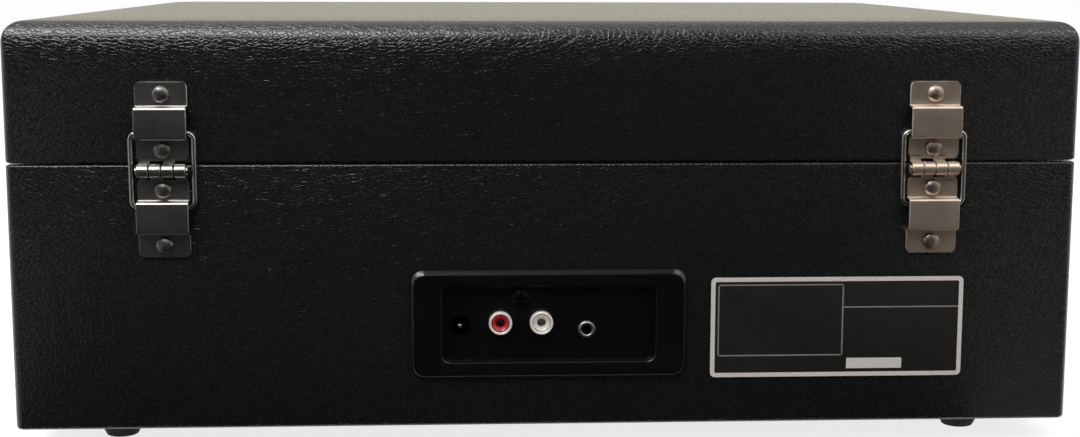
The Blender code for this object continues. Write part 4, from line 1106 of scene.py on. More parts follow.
class PLAYER_OT_jack_panel(bpy.types.Operator):
    """Mould the rear panel with its sunk tray"""

    bl_idname = "player.jack_panel"
    bl_label = "Jack panel"

    def execute(self, context):
        """Make the panel and bore it for its sockets."""
        sizes = context.scene.player_panel
        plastic = moulded("panel_plastic", sizes.plastic, 0.3, 0.00001, 0.75)
        dull = moulded("panel_dull", sizes.plastic, 0.45, 0.00002, 0.17)
        low, high, at, span = spans("jack_panel")
        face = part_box("base_shell")[1].y + HAIR
        thick = high.y - face
        floor = thick - TRAY_DEPTH
        centre = Vector((0, face, at.z))
        shape = bmesh.new()
        add(shape, self.rings(sizes, span, thick, floor, face + floor - low.y), "Y", centre)
        self.dim(shape, sizes, span, centre)
        openings = []
        for node in ("dc_jack", "phono_shell_left", "phono_shell_right", "aux_jack"):
            _, _, spot, socket = spans(node)
            radius = socket.x / 2 - SOCKET_LIP + HAIR / 3
            rings = turned(((radius, -SOCKET_BORE), (radius, SOCKET_BORE)))
            openings.append((rings, "Y", (spot.x, face + floor, spot.z)))
        name = "jack_panel_moulding"
        finishes = (plastic, dull)
        piece(name, shape, "base", finishes, ("jack_panel",), openings=openings)
        return {"FINISHED"}

    def rings(self, sizes, span, thick, floor, wall):
        """Rings of the panel: up round the tray's back, over the bevels and down into the tray."""
        corner, tray_r = PANEL_CORNER_R, sizes.tray_corner_r
        step = 0.25
        back_w, back_h = TRAY_W + 2 * wall, TRAY_H + 2 * wall
        rings = [
            rounded(back_w, back_h, tray_r + wall, floor - wall),
            rounded(back_w, back_h, tray_r + wall, 0),
            rounded(span.x, span.z, corner, 0),
            rounded(span.x, span.z, corner, thick * step),
        ]
        for share, lift in ((0.06, 0.12), (0.88, 0.94), (1.0, 1.0), (1.1, 1.0)):
            inset = sizes.side_bevel * share
            drop = (sizes.bevel - sizes.side_bevel) * share
            wide, tall = span.x - 2 * inset, span.z - 2 * inset - drop
            height = thick * (step + (1 - step) * lift)
            ring = rounded(wide, tall, corner - inset / 2, height)
            rings.append([(x, y + drop / 2, z) for x, y, z in ring])
        for inset, z in arc((TRAY_EASE, thick - TRAY_EASE), TRAY_EASE, 90, 180, 4):
            rings.append(rounded(TRAY_W + 2 * inset, TRAY_H + 2 * inset, tray_r + inset, z))
        foot = floor + TRAY_EASE / 2
        rings.append(rounded(TRAY_W - HAIR, TRAY_H - HAIR, tray_r, foot))
        inner = (TRAY_W - TRAY_EASE, TRAY_H - TRAY_EASE, tray_r - TRAY_EASE / 2)
        rings.append(rounded(*inner, floor))
        return rings

    def dim(self, shape, sizes, span, centre):
        """Give the dull finish to the bevel over the tray and to the tray's sill."""
        shape.normal_update()
        for face in shape.faces:
            way = face.calc_center_median() - centre
            bevel = way.z > TRAY_H / 2 + 2 * TRAY_EASE
            bevel = bevel and abs(way.x) < span.x / 2 - PANEL_CORNER_R
            sill = abs(way.z + TRAY_H / 2) < 2 * TRAY_EASE
            sill = sill and abs(way.x) < TRAY_W / 2 - sizes.tray_corner_r
            if face.normal.z > 0.2 and (bevel or sill):
                face.material_index = 1


class PLAYER_OT_sockets(bpy.types.Operator):
    """Turn the sockets and the screw of the rear panel"""

    bl_idname = "player.sockets"
    bl_label = "Sockets"

    def execute(self, context):
        """Make the sockets on the tray's floor."""
        sizes = context.scene.player_panel
        self.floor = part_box("jack_panel")[1].y - TRAY_DEPTH
        fine = 0.000006
        nickel = grained(
            "socket_nickel", sizes.nickel, 0.45, 1600.0, depth=fine, vary=0.1, Metallic=0.45
        )
        grey = shade(sizes.nickel, 0.5)
        steel = grained("aux_steel", grey, 0.4, 1600.0, depth=fine, Metallic=1.0)
        black = moulded("socket_black", sizes.plastic, 0.35, 0.00001, 0.4, 0.35)
        dark = grained("screw_black", shade(sizes.plastic, 4.0), 0.42, 1500.0, Metallic=0.6)
        colours = {"left": ("white_insert", sizes.white), "right": ("red_insert", sizes.red)}
        for side, (slot, colour) in colours.items():
            insert = grained(f"{side}_insert", colour, 0.3, 900.0, depth=0.00001, vary=0.08)
            self.rim(f"phono_shell_{side}", f"phono_insert_{side}", nickel)
            self.insert(f"phono_shell_{side}", f"phono_insert_{side}", slot, insert, steel)
        self.aux(steel, black)
        self.dc(black, steel)
        self.screw(dark)
        return {"FINISHED"}

    def measure(self, node):
        """A socket's place on the tray's floor, its radius, its height and its depth behind."""
        low, high, at, span = spans(node)
        place = Vector((at.x, self.floor, at.z))
        return place, span.x / 2, high.y - self.floor, low.y - self.floor

    def rim(self, shell, core, nickel):
        """A phono socket's rolled rim."""
        at, radius, proud, back = self.measure(shell)
        rim_r = radius - SOCKET_LIP
        core_r = self.measure(core)[1] + HAIR / 2
        roll = (rim_r - core_r) / 2
        profile = [(core_r, back), (rim_r, back), (rim_r, proud - roll)]
        profile += arc((rim_r - roll, proud - roll), roll, 0, 180, 8)
        name = f"{shell}_rim"
        lathe(name, profile, 48, at, "base", nickel, shell, "Y", closed=True)

    def insert(self, shell, core, slot, finish, contact):
        """A phono socket's coloured insert, with a metal cup in its hole."""
        back = self.measure(shell)[3]
        at, radius, face, _ = self.measure(core)
        hole = radius * 0.5
        foot = back * 0.3
        profile = [(radius, back), (radius, face - HAIR), (radius - HAIR, face)]
        profile += [(radius * 0.84, face - HAIR / 2), (hole * 1.3, face - 2 * HAIR)]
        profile += [(hole, face - 4 * HAIR), (hole, foot)]
        shape = bmesh.new()
        add(shape, turned(profile, 48), "Y", at, caps=False)
        cup = [(hole, foot), (hole * 0.1, foot)]
        add(shape, turned(cup, 48), "Y", at, caps=False, finish=1)
        bmesh.ops.remove_doubles(shape, verts=shape.verts, dist=HAIR / 100)
        bmesh.ops.holes_fill(shape, edges=[side for side in shape.edges if side.is_boundary])
        piece(f"{core}_dish", shape, "base", (finish, contact), (core,))

    def aux(self, steel, black):
        """The small jack: a chamfered grey nose with a dark bore."""
        at, radius, proud, back = self.measure("aux_jack")
        radius -= SOCKET_LIP
        bore = radius * 0.6
        profile = [(bore * 0.2, back), (radius, back), (radius, proud * 0.5)]
        profile += [(radius * 0.93, proud * 0.85), (radius * 0.85, proud), (bore * 1.12, proud)]
        profile += [(bore, proud * 0.8), (bore, back * 0.6), (bore * 0.1, back * 0.6)]
        shape = bmesh.new()
        add(shape, turned(profile, 40), "Y", at)
        for face in shape.faces:
            spot = face.calc_center_median() - at
            deep = math.hypot(spot.x, spot.z) < bore * 1.02 and spot.y < proud * 0.7
            face.material_index = 1 if deep else 0
        piece("aux_jack_nose", shape, "base", (steel, black), ("aux_jack",))

    def dc(self, black, steel):
        """The power inlet: a black barrel with its pin."""
        at, radius, proud, back = self.measure("dc_jack")
        radius -= SOCKET_LIP
        bore = radius * 0.82
        pin = radius * 0.24
        foot = back * 0.5
        profile = [(radius * 0.2, back), (radius, back), (radius, proud), (bore + HAIR, proud)]
        profile += [(bore, -HAIR), (bore, foot), (pin, foot)]
        tip = [(pin, foot), (pin, -4 * HAIR), (pin * 0.7, -HAIR * 2), (pin * 0.2, -HAIR)]
        shape = bmesh.new()
        add(shape, turned(profile, 40), "Y", at)
        add(shape, turned(tip, 20), "Y", at, finish=1)
        piece("dc_jack_barrel", shape, "base", (black, steel), ("dc_jack",))

    def screw(self, dark):
        """A pan head with a cross recess."""
        at, radius, tall, back = self.measure("panel_screw")
        brim = 0.35
        profile = [(radius * 0.4, back), (radius * 0.4, HAIR), (radius, HAIR)]
        profile += dome(radius, tall, brim, 15)
        name = "panel_screw_head"
        head = lathe(name, profile, 32, at, "base", dark, "panel_screw", "Y")
        for wide, high in ((1.25, 0.28), (0.28, 1.25)):
            ends = (tall * brim, tall * 2)
            recess = [rounded(radius * wide, radius * high, HAIR, z) for z in ends]
            cutters(head, [(recess, "Y", at)])
        smooth(head)


class PLAYER_OT_rating_plate(bpy.types.Operator):
    """Lay the blank plate with its border, empty frame and empty strip"""

    bl_idname = "player.rating_plate"
    bl_label = "Blank plate"

    def execute(self, context):
        """Make the plate and its printed lines, with no words on it."""
        sizes = context.scene.player_panel
        fine = 0.00001
        foil = grained(
            "plate_foil", sizes.plate, 0.4, 1500.0, depth=fine, vary=0.3, Specular_IOR_Level=0.3
        )
        ink = grained("plate_border", sizes.ink, 0.45, 1800.0, depth=fine, vary=0.12)
        grey = shade(sizes.ink, 0.35)
        rule = grained("plate_rule", grey, 0.45, 1800.0, depth=fine, vary=0.2)
        low, high, at, span = spans("rating_plate")
        at.y = low.y
        shape = bmesh.new()
        self.sheet(shape, at, span, sizes.plate_border)
        self.lines(shape, high, span.x, sizes.plate_border)
        finishes = (foil, ink, rule)
        piece("rating_plate_foil", shape, "base", finishes, ("rating_plate",))
        return {"FINISHED"}

    def sheet(self, shape, at, span, border):
        """The foil with its pale border."""
        thick = span.y
        outer = (span.x, span.z, PLATE_CORNER_R)
        eased_in = (span.x - thick, span.z - thick, PLATE_CORNER_R)
        inner = (span.x - 2 * border, span.z - 2 * border, PLATE_CORNER_R / 3)
        heights = ((outer, 0), (outer, thick * 0.8), (eased_in, thick))
        add(shape, [rounded(*outline, z) for outline, z in heights], "Y", at)
        above, below = thick + INK_RISE, thick - INK_RISE
        heights = ((eased_in, above), (inner, above), (inner, below), (eased_in, below))
        rings = [rounded(*outline, z) for outline, z in heights]
        add(shape, rings, "Y", at, closed=True, finish=1)

    def lines(self, shape, corner, width, border):
        """The empty frame, the rule and the empty strip, from the plate's upper corner."""
        across, down, line = PLATE_FRAME_W, PLATE_FRAME_H, PLATE_LINE
        start = border + 2 * line
        strip_end = across + PLATE_STRIP_W
        strip_low = PLATE_STRIP_TOP + PLATE_STRIP_H
        for left, top, right, bottom, finish in (
            (start, start, across, start + line, 2),
            (start, down - line, across, down, 2),
            (start, start, start + line, down, 2),
            (across - line, start, across, down, 2),
            (across, PLATE_RULE_AT, width - border, PLATE_RULE_AT + line, 2),
            (across + 3 * line, PLATE_STRIP_TOP, strip_end, strip_low, 1),
        ):
            at = (corner.x - (left + right) / 2, corner.y, corner.z - (top + bottom) / 2)
            patch = (right - left, bottom - top, HAIR / 2)
            rings = [rounded(*patch, height, 2) for height in (-INK_SINK, INK_RISE)]
            add(shape, rings, "Y", at, finish=finish)


def screw_head(shape, at, radius):
    """Add a screw's domed head that faces the front."""
    tall = radius * 0.45
    brim = 0.3
    profile = [(radius, -HAIR), (radius, tall * brim), *dome(radius, tall, brim, 17, 5)]
    add(shape, turned(profile, 24), "-Y", at)


def ear(shape, outline, start, sign):
    """Add a flat ear from its (y, z) outline, EAR_T thick and outward from a place in X."""
    sides = sorted((start, start + sign * EAR_T))
    add(shape, [[(side, y, z) for y, z in outline] for side in sides])


def fitting(shape, node, pin_at, ear_x, screw_r):
    """Add a wall plate with round-topped ears, pivot heads and two screws."""
    low, high, at, span = spans(node)
    face = high.y - FITTING_T
    back = high.y - FITTING_T / 2
    rings = eased(span.x, span.z, 0, FITTING_T, HAIR / 3, FITTING_T / 2, 2 * FITTING_T, 3)
    add(shape, rings, "-Y", (at.x, high.y, at.z))
    ear_r = abs(pin_at.y - low.y)
    outline = [(back, pin_at.z - ear_r), (pin_at.y, pin_at.z - ear_r)]
    outline += arc((pin_at.y, pin_at.z), ear_r, 270, 90, 10)[1:]
    outline.append((back, pin_at.z + ear_r))
    for sign in SIDES.values():
        start = at.x + sign * ear_x
        ear(shape, outline, start, sign)
        head = ((PIVOT_HEAD_R, 0), (PIVOT_HEAD_R, HAIR), (0.001, 2 * HAIR))
        head = [(radius, sign * height) for radius, height in head]
        add(shape, turned(head, 20), "X", (start + sign * EAR_T, pin_at.y, pin_at.z))
        screw_head(shape, (at.x, face, at.z + sign * (span.z / 2 - 1.6 * screw_r)), screw_r)
    rod = turned(((PIVOT_R, -ear_x), (PIVOT_R, ear_x)), 20)
    add(shape, rod, "X", (at.x, pin_at.y, pin_at.z))


class PLAYER_OT_handle(bpy.types.Operator):
    """Mould the carrying handle and its brackets"""

    bl_idname = "player.handle"
    bl_label = "Handle"

    def execute(self, context):
        """Make the handle and both brackets."""
        sizes = context.scene.player_front
        grip = grained(
            "handle_grip", sizes.grip, 0.5, 900.0, depth=0.00008, Specular_IOR_Level=0.35
        )
        bright = plated("bracket_plate", sizes.bright, 0.26)
        at = pivot("handle_swing")
        low, high, _, span = spans("handle")
        half = span.x / 2 - HANDLE_EYE_LEN / 2
        self.handle(at, half, at.z - low.z - HANDLE_GRIP_R, high.z - at.z, grip)
        for side, sign in SIDES.items():
            shape = bmesh.new()
            node = f"handle_bracket_{side}"
            pin_at = Vector((sign * half, at.y, at.z))
            fitting(shape, node, pin_at, HANDLE_EYE_LEN / 2 + HAIR, sizes.screw_r)
            piece(f"{node}_plate", shape, "base", (bright,), (node,))
        return {"FINISHED"}

    def handle(self, at, half, drop, eye_r, grip):
        """The bow with an eye at each end and two collars on its grip."""
        path, radii = self.bow(half, drop)
        shape = bmesh.new()
        tube(shape, [(x, at.y, at.z + z) for x, z in path], radii, 20)
        eye = [(eye_r * 0.4, 0), (eye_r - HAIR, 0), (eye_r, HAIR)]
        eye += [(radius, HANDLE_EYE_LEN - x) for radius, x in reversed(eye)]
        narrow = HANDLE_GRIP_R * 0.9
        collar = mirrored([(narrow, -0.002), (HANDLE_GRIP_R, -0.0012)])
        for sign in SIDES.values():
            start = sign * half - HANDLE_EYE_LEN / 2
            add(shape, turned(eye, 32), "X", (start, at.y, at.z), closed=True)
            add(shape, turned(collar, 32), "X", (sign * half * 0.6, at.y, at.z - drop))
        piece("handle_bow", shape, "carry_handle", (grip,), ("handle",), 45)

    def bow(self, half, drop):
        """Path and radii of the bow, thin at its arms and thick along the grip."""
        bend = drop * 0.55
        right = [(half, 0.0), (half, -drop * 0.3)]
        right += arc((half - bend, -drop + bend), bend, 0, -90, 10)
        right.append((half * 0.3, -drop))
        path = right + [(-x, z) for x, z in reversed(right)]
        radii = []
        for x, _ in path:
            share = min(max((half - abs(x)) / (half * 0.34), 0.0), 1.0)
            share = share * share * (3 - 2 * share)
            radii.append(HANDLE_ARM_R + (HANDLE_GRIP_R * 0.97 - HANDLE_ARM_R) * share)
        return path, radii


class PLAYER_OT_latches(bpy.types.Operator):
    """Press the latch plates, levers and catches"""

    bl_idname = "player.latches"
    bl_label = "Latches"

    def execute(self, context):
        """Make both front latches."""
        sizes = context.scene.player_front
        bright = plated("latch_plate", sizes.bright, 0.28)
        for side in SIDES:
            self.base_plate(side, sizes, bright)
            self.lever(side, bright)
            self.catch(side, sizes, bright)
        return {"FINISHED"}

    def base_plate(self, side, sizes, bright):
        """The plate on the base, with the lever's ears."""
        node = f"latch_plate_{side}"
        lever_w = spans(f"latch_lever_{side}")[3].x
        shape = bmesh.new()
        fitting(shape, node, pivot(f"{side}_latch_flip"), lever_w / 2 + HAIR, sizes.screw_r)
        piece(f"{node}_pressing", shape, "base", (bright,), (node,))

    def lever(self, side, bright):
        """The lever: rolled round its pin, with a turned-out thumb tip."""
        node = f"latch_lever_{side}"
        low, high, at, span = spans(node)
        pin_at = pivot(f"{side}_latch_flip")
        thick = LEVER_T
        roll = pin_at.z - low.z - thick / 2
        tip = high.z - thick / 2
        out = pin_at.y - low.y - thick
        path = arc((pin_at.y, pin_at.z), roll, -30, -270, 20)
        path.append((pin_at.y, pin_at.z + roll + thick))
        path.append((pin_at.y, tip - 3 * thick))
        for share in (0.25, 0.5, 0.75, 1.0):
            path.append((pin_at.y - out * share**1.6, tip - 3 * thick * (1 - share)))
        shape = bmesh.new()
        strap(shape, path, at.x, span.x, thick, LEVER_TIP_R, False, True)
        piece(f"{node}_blade", shape, f"{side}_latch", (bright,), (node,), 40)

    def catch(self, side, sizes, bright):
        """The catch on the lid: a plate with a pressed bead."""
        node = f"latch_catch_{side}"
        low, high, at, span = spans(node)
        plate = eased(span.x, span.z, 0, CATCH_T, HAIR / 3, CATCH_T / 2, CATCH_CORNER_R, 3)
        bead_r = span.y * 0.3
        bead = eased(span.x * 0.8, span.z / 4, 0, span.y, HAIR / 3, bead_r, span.z / 9, 4)
        shape = bmesh.new()
        add(shape, plate, "-Y", (at.x, high.y, at.z))
        add(shape, bead, "-Y", (at.x, high.y, low.z + span.z * 0.46))
        spot = (at.x, high.y - CATCH_T, high.z - span.z * 0.2)
        screw_head(shape, spot, sizes.screw_r * 0.8)
        piece(f"{node}_pressing", shape, "lid", (bright,), (node,))


class PLAYER_OT_speakers(bpy.types.Operator):
    """Mould the grilles, stretch the cloth and finish the cones"""

    bl_idname = "player.speakers"
    bl_label = "Speakers"

    def execute(self, context):
        """Make both speakers' grilles and cloth."""
        sizes = context.scene.player_front
        plastic = grained(
            "grille_plastic", sizes.grille, 0.45, 1500.0, depth=0.00004, Specular_IOR_Level=0.35
        )
        weave = woven("speaker_cloth", sizes.cloth, CLOTH_THREAD)
        cone = grained("cone_paper", sizes.cone, 0.85, 1100.0, depth=0.0001)
        for side in SIDES:
            node = f"speaker_grille_{side}"
            low, high, at, span = spans(node)
            at.y = high.y
            self.grille(node, at, span, plastic)
            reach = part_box(f"speaker_{side}")[1].x - (low.x + high.x) / 2
            self.cloth(side, at, reach * CLOTH_SHARE, weave)
            keep(f"speaker_{side}", cone)
        return {"FINISHED"}

    def grille(self, node, at, span, plastic):
        """A moulded grille with its slots."""
        thick = span.y
        rings = eased(span.x, span.z, 0, thick, HAIR / 3, thick / 2, GRILLE_CORNER_R, 5)
        shape = bmesh.new()
        add(shape, rings, "-Y", at)
        pitch = (span.z - 2 * GRILLE_CORNER_R) / (GRILLE_SLOTS - 1)
        slot = (span.x - 2 * GRILLE_CORNER_R, SLOT_H, SLOT_H * 0.49)
        rings = [rounded(*slot, depth) for depth in (-thick, 3 * thick)]
        openings = []
        for index in range(GRILLE_SLOTS):
            z = at.z + pitch * (index - (GRILLE_SLOTS - 1) / 2)
            openings.append((rings, "-Y", (at.x, at.y, z)))
        name = f"{node}_moulding"
        piece(name, shape, "base", (plastic,), (node,), openings=openings)

    def cloth(self, side, at, radius, weave):
        """The cloth stretched behind a grille, as a disc."""
        profile = [(radius, 0.0), (radius, CLOTH_THICK), (radius * 0.1, CLOTH_THICK * 1.2)]
        spot = (at.x, at.y + CLOTH_SET_BACK, at.z)
        name = f"speaker_cloth_{side}"
        disc = lathe(name, profile, 48, spot, "base", weave, axis="-Y")


class PLAYER_OT_deck(bpy.types.Operator):
    """Finish the deck plate, the drive below it and the circuit board, and turn the platter"""

    bl_idname = "player.deck"
    bl_label = "Deck"

    def execute(self, context):
        """Finish the fixed pieces of the deck and make those that spin."""
        sizes = context.scene.player_deck
        spot = middle("spindle")
        steel = ringed("turned_steel", sizes.steel, 0.3, 0.0004, centre=spot, Metallic=1.0)
        finishes = {
            "deck_plate": grained(
                "deck_texture", sizes.deck, 0.5, 1700.0, depth=0.00007, vary=0.25
            ),
            "bearing_bush": steel,
            "motor": grained(
                "motor_can", sizes.steel, 0.34, 1500.0, (1, 1, 0.1), 0.00001, Metallic=1.0
            ),
            "motor_pulley": grained("pulley_plastic", sizes.platter, 0.4, 1500.0),
            "drive_belt": grained("belt_rubber", sizes.mat, 0.65, 1300.0, (1, 1, 0.2)),
            "circuit_board": grained("circuit_laminate", sizes.laminate, 0.5, 500.0, depth=0.00004),
        }
        for node, finish in finishes.items():
            keep(node, finish)
        self.at = (spot.x, spot.y, 0)
        self.platter(ringed("platter_moulding", sizes.platter, 0.4, 0.0012, centre=spot))
        rubber = ringed(
            "mat_rubber", sizes.mat, 0.7, 0.0005, 0.00003, spot, Specular_IOR_Level=0.25
        )
        self.mat(sizes.mat_ribs, rubber)
        self.spindle(steel)
        return {"FINISHED"}

    def platter(self, finish):
        """The platter with its drive rim below and a lip round its top."""
        low, high, _, span = spans("platter")
        radius = span.x / 2
        hole, ease, sunk = PLATTER_HOLE_R, PLATTER_EASE, high.z - HAIR
        under = high.z - PLATTER_T
        rim_in = DRIVE_RIM_R - DRIVE_RIM_T
        profile = [(hole, under), (rim_in, under), (rim_in, low.z)]
        profile += [(DRIVE_RIM_R, low.z), (DRIVE_RIM_R, under)]
        profile += arc((radius - ease, under + ease), ease, 270, 360, 5)
        profile += arc((radius - ease, high.z - ease), ease, 0, 90, 5)
        profile += [(radius - PLATTER_LIP, high.z), (radius - PLATTER_LIP - HAIR, sunk)]
        profile.append((hole, sunk))
        self.spun("platter_turned", profile, 128, "platter_plastic", finish, "platter", True)

    def spun(self, name, profile, sides, slot, finish, node, closed=False, angle=32):
        """A piece turned about the spindle's axis, which spins with the platter."""
        at, body = self.at, "turntable"
        lathe(name, profile, sides, at, body, finish, node, "Z", closed, angle)

    def mat(self, ribs, rubber):
        """A rubber mat with raised ribs and a sunk middle."""
        low, high, _, span = spans("slipmat")
        radius = span.x / 2
        hole = PLATTER_HOLE_R
        sunk = high.z - MAT_RIB_H
        step = radius * (1 - MAT_MIDDLE) / ribs
        profile = [(hole, low.z), (radius - HAIR, low.z), (radius, low.z + HAIR)]
        profile.append((radius, high.z - HAIR))
        at = radius - HAIR
        for _ in range(ribs):
            profile += [(at, high.z), (at - step * 0.55, high.z)]
            profile += [(at - step * 0.65, sunk), (at - step * 0.9, sunk)]
            at -= step
        profile += [(at, high.z), (at - step * 0.5, high.z), (at - step * 0.7, sunk), (hole, sunk)]
        self.spun("slipmat_ribbed", profile, 128, "mat_rubber", rubber, "slipmat", True, 25)

    def spindle(self, steel):
        """The spindle: a flange under the platter and a round tip above the mat."""
        low, high, _, span = spans("spindle")
        seat_low, platter_top = (corner.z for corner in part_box("platter"))
        seat_top = platter_top - PLATTER_T - HAIR
        thin, flange = SPINDLE_R, span.x / 2
        profile = [(thin * 0.8, low.z), (thin, low.z + HAIR), (thin, seat_low)]
        profile += [(flange, seat_low), (flange, seat_top), (thin, seat_top)]
        profile.append((thin, high.z - thin))
        profile += arc((thin * 0.25, high.z - thin * 0.75), thin * 0.75, 0, 85, 6)
        self.spun("spindle_turned", profile, 40, "drive_steel", steel, "spindle")


class PLAYER_OT_tonearm(bpy.types.Operator):
    """Build the tonearm, its pedestal and its rest"""

    bl_idname = "player.tonearm"
    bl_label = "Tonearm"

    def execute(self, context):
        """Make the arm's pieces."""
        sizes = context.scene.player_deck
        plastic = grained(
            "arm_plastic", sizes.arm, 0.42, 1800.0, depth=0.00003, Specular_IOR_Level=0.4
        )
        satin = grained(
            "arm_satin", sizes.satin, 0.32, 1600.0, (1, 0.05, 1), 0.000008, 0.1, Metallic=1.0
        )
        dark = shade(sizes.arm, 1.6)
        gloss = grained("cartridge_gloss", dark, 0.25, 1200.0, depth=0.00001)
        post = middle("tonearm_pedestal")
        arm_low, arm_high, arm, _ = spans("tonearm_tube")
        self.at = Vector((post.x, post.y, arm.z))
        self.arm_r = (arm_high.z - arm_low.z) / 2
        self.pedestal(plastic)
        self.yoke(plastic)
        self.tube(plastic, satin)
        self.counterweight(satin)
        self.headshell(plastic, satin)
        self.cartridge(gloss, satin)
        self.rest(arm.x, plastic)
        return {"FINISHED"}

    def pedestal(self, plastic):
        """The fixed post with a stepped foot."""
        node = "tonearm_pedestal"
        low, high, _, span = spans(node)
        radius = span.x / 2
        stub = STUB_R + HAIR
        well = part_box("tonearm_yoke")[0].z - HAIR
        foot = low.z + ARM_STEP
        profile = [(stub * 0.2, low.z), (radius - HAIR, low.z), (radius, low.z + HAIR)]
        profile += [(radius, foot), (radius - HAIR, foot + HAIR)]
        profile += [(radius * 0.93, foot + 2 * HAIR), (radius * 0.9, high.z - 4 * HAIR)]
        profile += [(radius * 0.83, high.z), (stub, high.z), (stub, well), (stub * 0.2, well)]
        place = (*self.at.xy, 0)
        lathe("pedestal_turned", profile, 64, place, "base", plastic, node)

    def yoke(self, plastic):
        """The yoke that turns on the post: a disc on a stub, with an ear on each side."""
        low, high, _, span = spans("tonearm_yoke")
        disc_r = span.y / 2
        disc_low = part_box("tonearm_pedestal")[1].z + HAIR
        disc_high = disc_low + ARM_STEP
        profile = [(STUB_R, low.z), (STUB_R, disc_low), (disc_r - HAIR, disc_low)]
        profile += [(disc_r, disc_low + HAIR), (disc_r, disc_high - 2 * HAIR)]
        profile.append((disc_r - 2 * HAIR, disc_high))
        shape = bmesh.new()
        add(shape, turned(profile, 64), at=(*self.at.xy, 0))
        x, y, z = self.at
        ear_r = high.z - z
        foot = disc_high - HAIR
        outline = [(y - YOKE_FOOT, foot), (y - ear_r, z)]
        outline += arc((y, z), ear_r, 180, 0, 12) + [(y + YOKE_FOOT, foot)]
        for sign in SIDES.values():
            ear(shape, outline, x + sign * YOKE_GAP, sign)
        piece("yoke_turned", shape, "arm_base", (plastic,), ("tonearm_yoke",))

    def tube(self, plastic, satin):
        """The satin tube with its pivot pin and a moulded hub."""
        low, high, _, span = spans("tonearm_tube")
        radius = self.arm_r
        profile = [(radius * 0.5, low.y), (radius, low.y + HAIR)]
        profile += [(radius, high.y - HAIR), (radius * 0.5, high.y)]
        half = span.x / 2
        pin = mirrored([(PIVOT_R - HAIR, -half), (PIVOT_R, HAIR - half)])
        hub = mirrored([(radius, -0.0045), (radius * 1.35, -0.0035)])
        shape = bmesh.new()
        add(shape, turned(profile, 40), "Y", (self.at.x, 0, self.at.z))
        add(shape, turned(pin, 24), "X", self.at)
        add(shape, turned(hub, 40), "Y", self.at, finish=1)
        name = "tonearm_satin_tube"
        piece(name, shape, "arm", (satin, plastic), ("tonearm_tube",))

    def counterweight(self, satin):
        """The counterweight with its grip grooves."""
        node = "counterweight"
        low, high, _, span = spans(node)
        outer = span.x / 2
        bore = self.arm_r + HAIR
        ease = WEIGHT_EASE
        step = (span.y - 4 * ease) / WEIGHT_GROOVES
        profile = [(bore, low.y), (outer - ease, low.y), (outer, low.y + ease)]
        for index in range(WEIGHT_GROOVES):
            start = low.y + 2 * ease + index * step
            profile += [(outer, start), (outer - HAIR, start + step * 0.2)]
            profile += [(outer - HAIR, start + step * 0.5), (outer, start + step * 0.7)]
        profile += [(outer, high.y - ease), (outer - ease, high.y), (bore, high.y)]
        name, place = "counterweight_turned", (self.at.x, 0, self.at.z)
        lathe(name, profile, 48, place, "arm", satin, node, "Y", True, 20)

    def headshell(self, plastic, satin):
        """The headshell with its finger lift."""
        low, high, at, span = spans("headshell")
        width, length, axis_z = span.x, span.y, self.at.z
        rings = []
        for away, wide, tall in (
            (0, 0.0078, 0.0078),
            (0.06, 0.008, 0.008),
            (0.2, 0.0135, 0.006),
            (0.333, width, HEAD_T),
            (0.5, width, HEAD_T),
            (0.85, width, HEAD_T),
            (0.93, width * 0.86, HEAD_T * 0.95),
            (1.0, width * 0.68, HEAD_T * 0.8),
        ):
            flat = rounded(wide, tall, min(0.0014, tall * 0.45), 0, 4)
            y = high.y - away * length
            rings.append([(at.x + across, y, axis_z + up) for across, up, _ in flat])
        shape = bmesh.new()
        add(shape, rings)
        finger = []
        for out, share, rise in ((-0.001, 0.3, 0), (0.003, 0.28, 0.0008), (0.0075, 0.27, 0.0026)):
            finger.append((at.x + width / 2 + out, low.y + length * share, axis_z + rise))
        tube(shape, finger, [0.001, 0.0009, 0.0008], 12, finish=1)
        name = "headshell_moulding"
        piece(name, shape, "arm", (plastic, satin), ("headshell",), 40)
        self.head_x = at.x

    def cartridge(self, gloss, satin):
        """The cartridge with its stylus."""
        low, high, at, span = spans("cartridge")
        x = self.head_x
        foot = low.z + STYLUS_H
        place = (x, at.y, 0)
        wide, deep = span.x * 0.6, span.y * 0.5
        shape = bmesh.new()
        add(shape, eased(span.x, span.y, foot, high.z, 0.0009, HAIR, 0.0015, 4), at=place)
        guard = eased(wide, deep, foot - 0.0008, foot + HAIR, HAIR, HAIR / 2, 0.001, 3)
        add(shape, guard, at=place)
        y = at.y - span.y * 0.1
        needle = [(x, y + 0.004, foot - HAIR), (x, y, low.z + 0.0008), (x, y, low.z)]
        tube(shape, needle, [0.0006, 0.00045, 0.0001], 10, finish=1)
        name = "cartridge_body"
        piece(name, shape, "arm", (gloss, satin), ("cartridge",), 40)

    def rest(self, x, plastic):
        """The arm rest: a waisted post with a clip."""
        low, high, at, span = spans("arm_rest")
        seat = self.at.z - self.arm_r - HAIR
        post = span.y / 2
        profile = [(post, low.z), (post, low.z + 0.002), (post * 0.7, low.z + 0.004)]
        profile += [(post * 0.62, seat - 0.004), (post * 0.9, seat - 0.0012), (post * 0.9, seat)]
        lip = eased(EAR_T, post, seat - 0.004, high.z, HAIR, EAR_T * 0.4, EAR_T * 0.3, 4)
        shape = bmesh.new()
        add(shape, turned(profile, 40), at=(x, at.y, 0))
        add(shape, lip, at=(high.x - EAR_T / 2, at.y, 0))
        piece("arm_rest_moulding", shape, "base", (plastic,), ("arm_rest",))


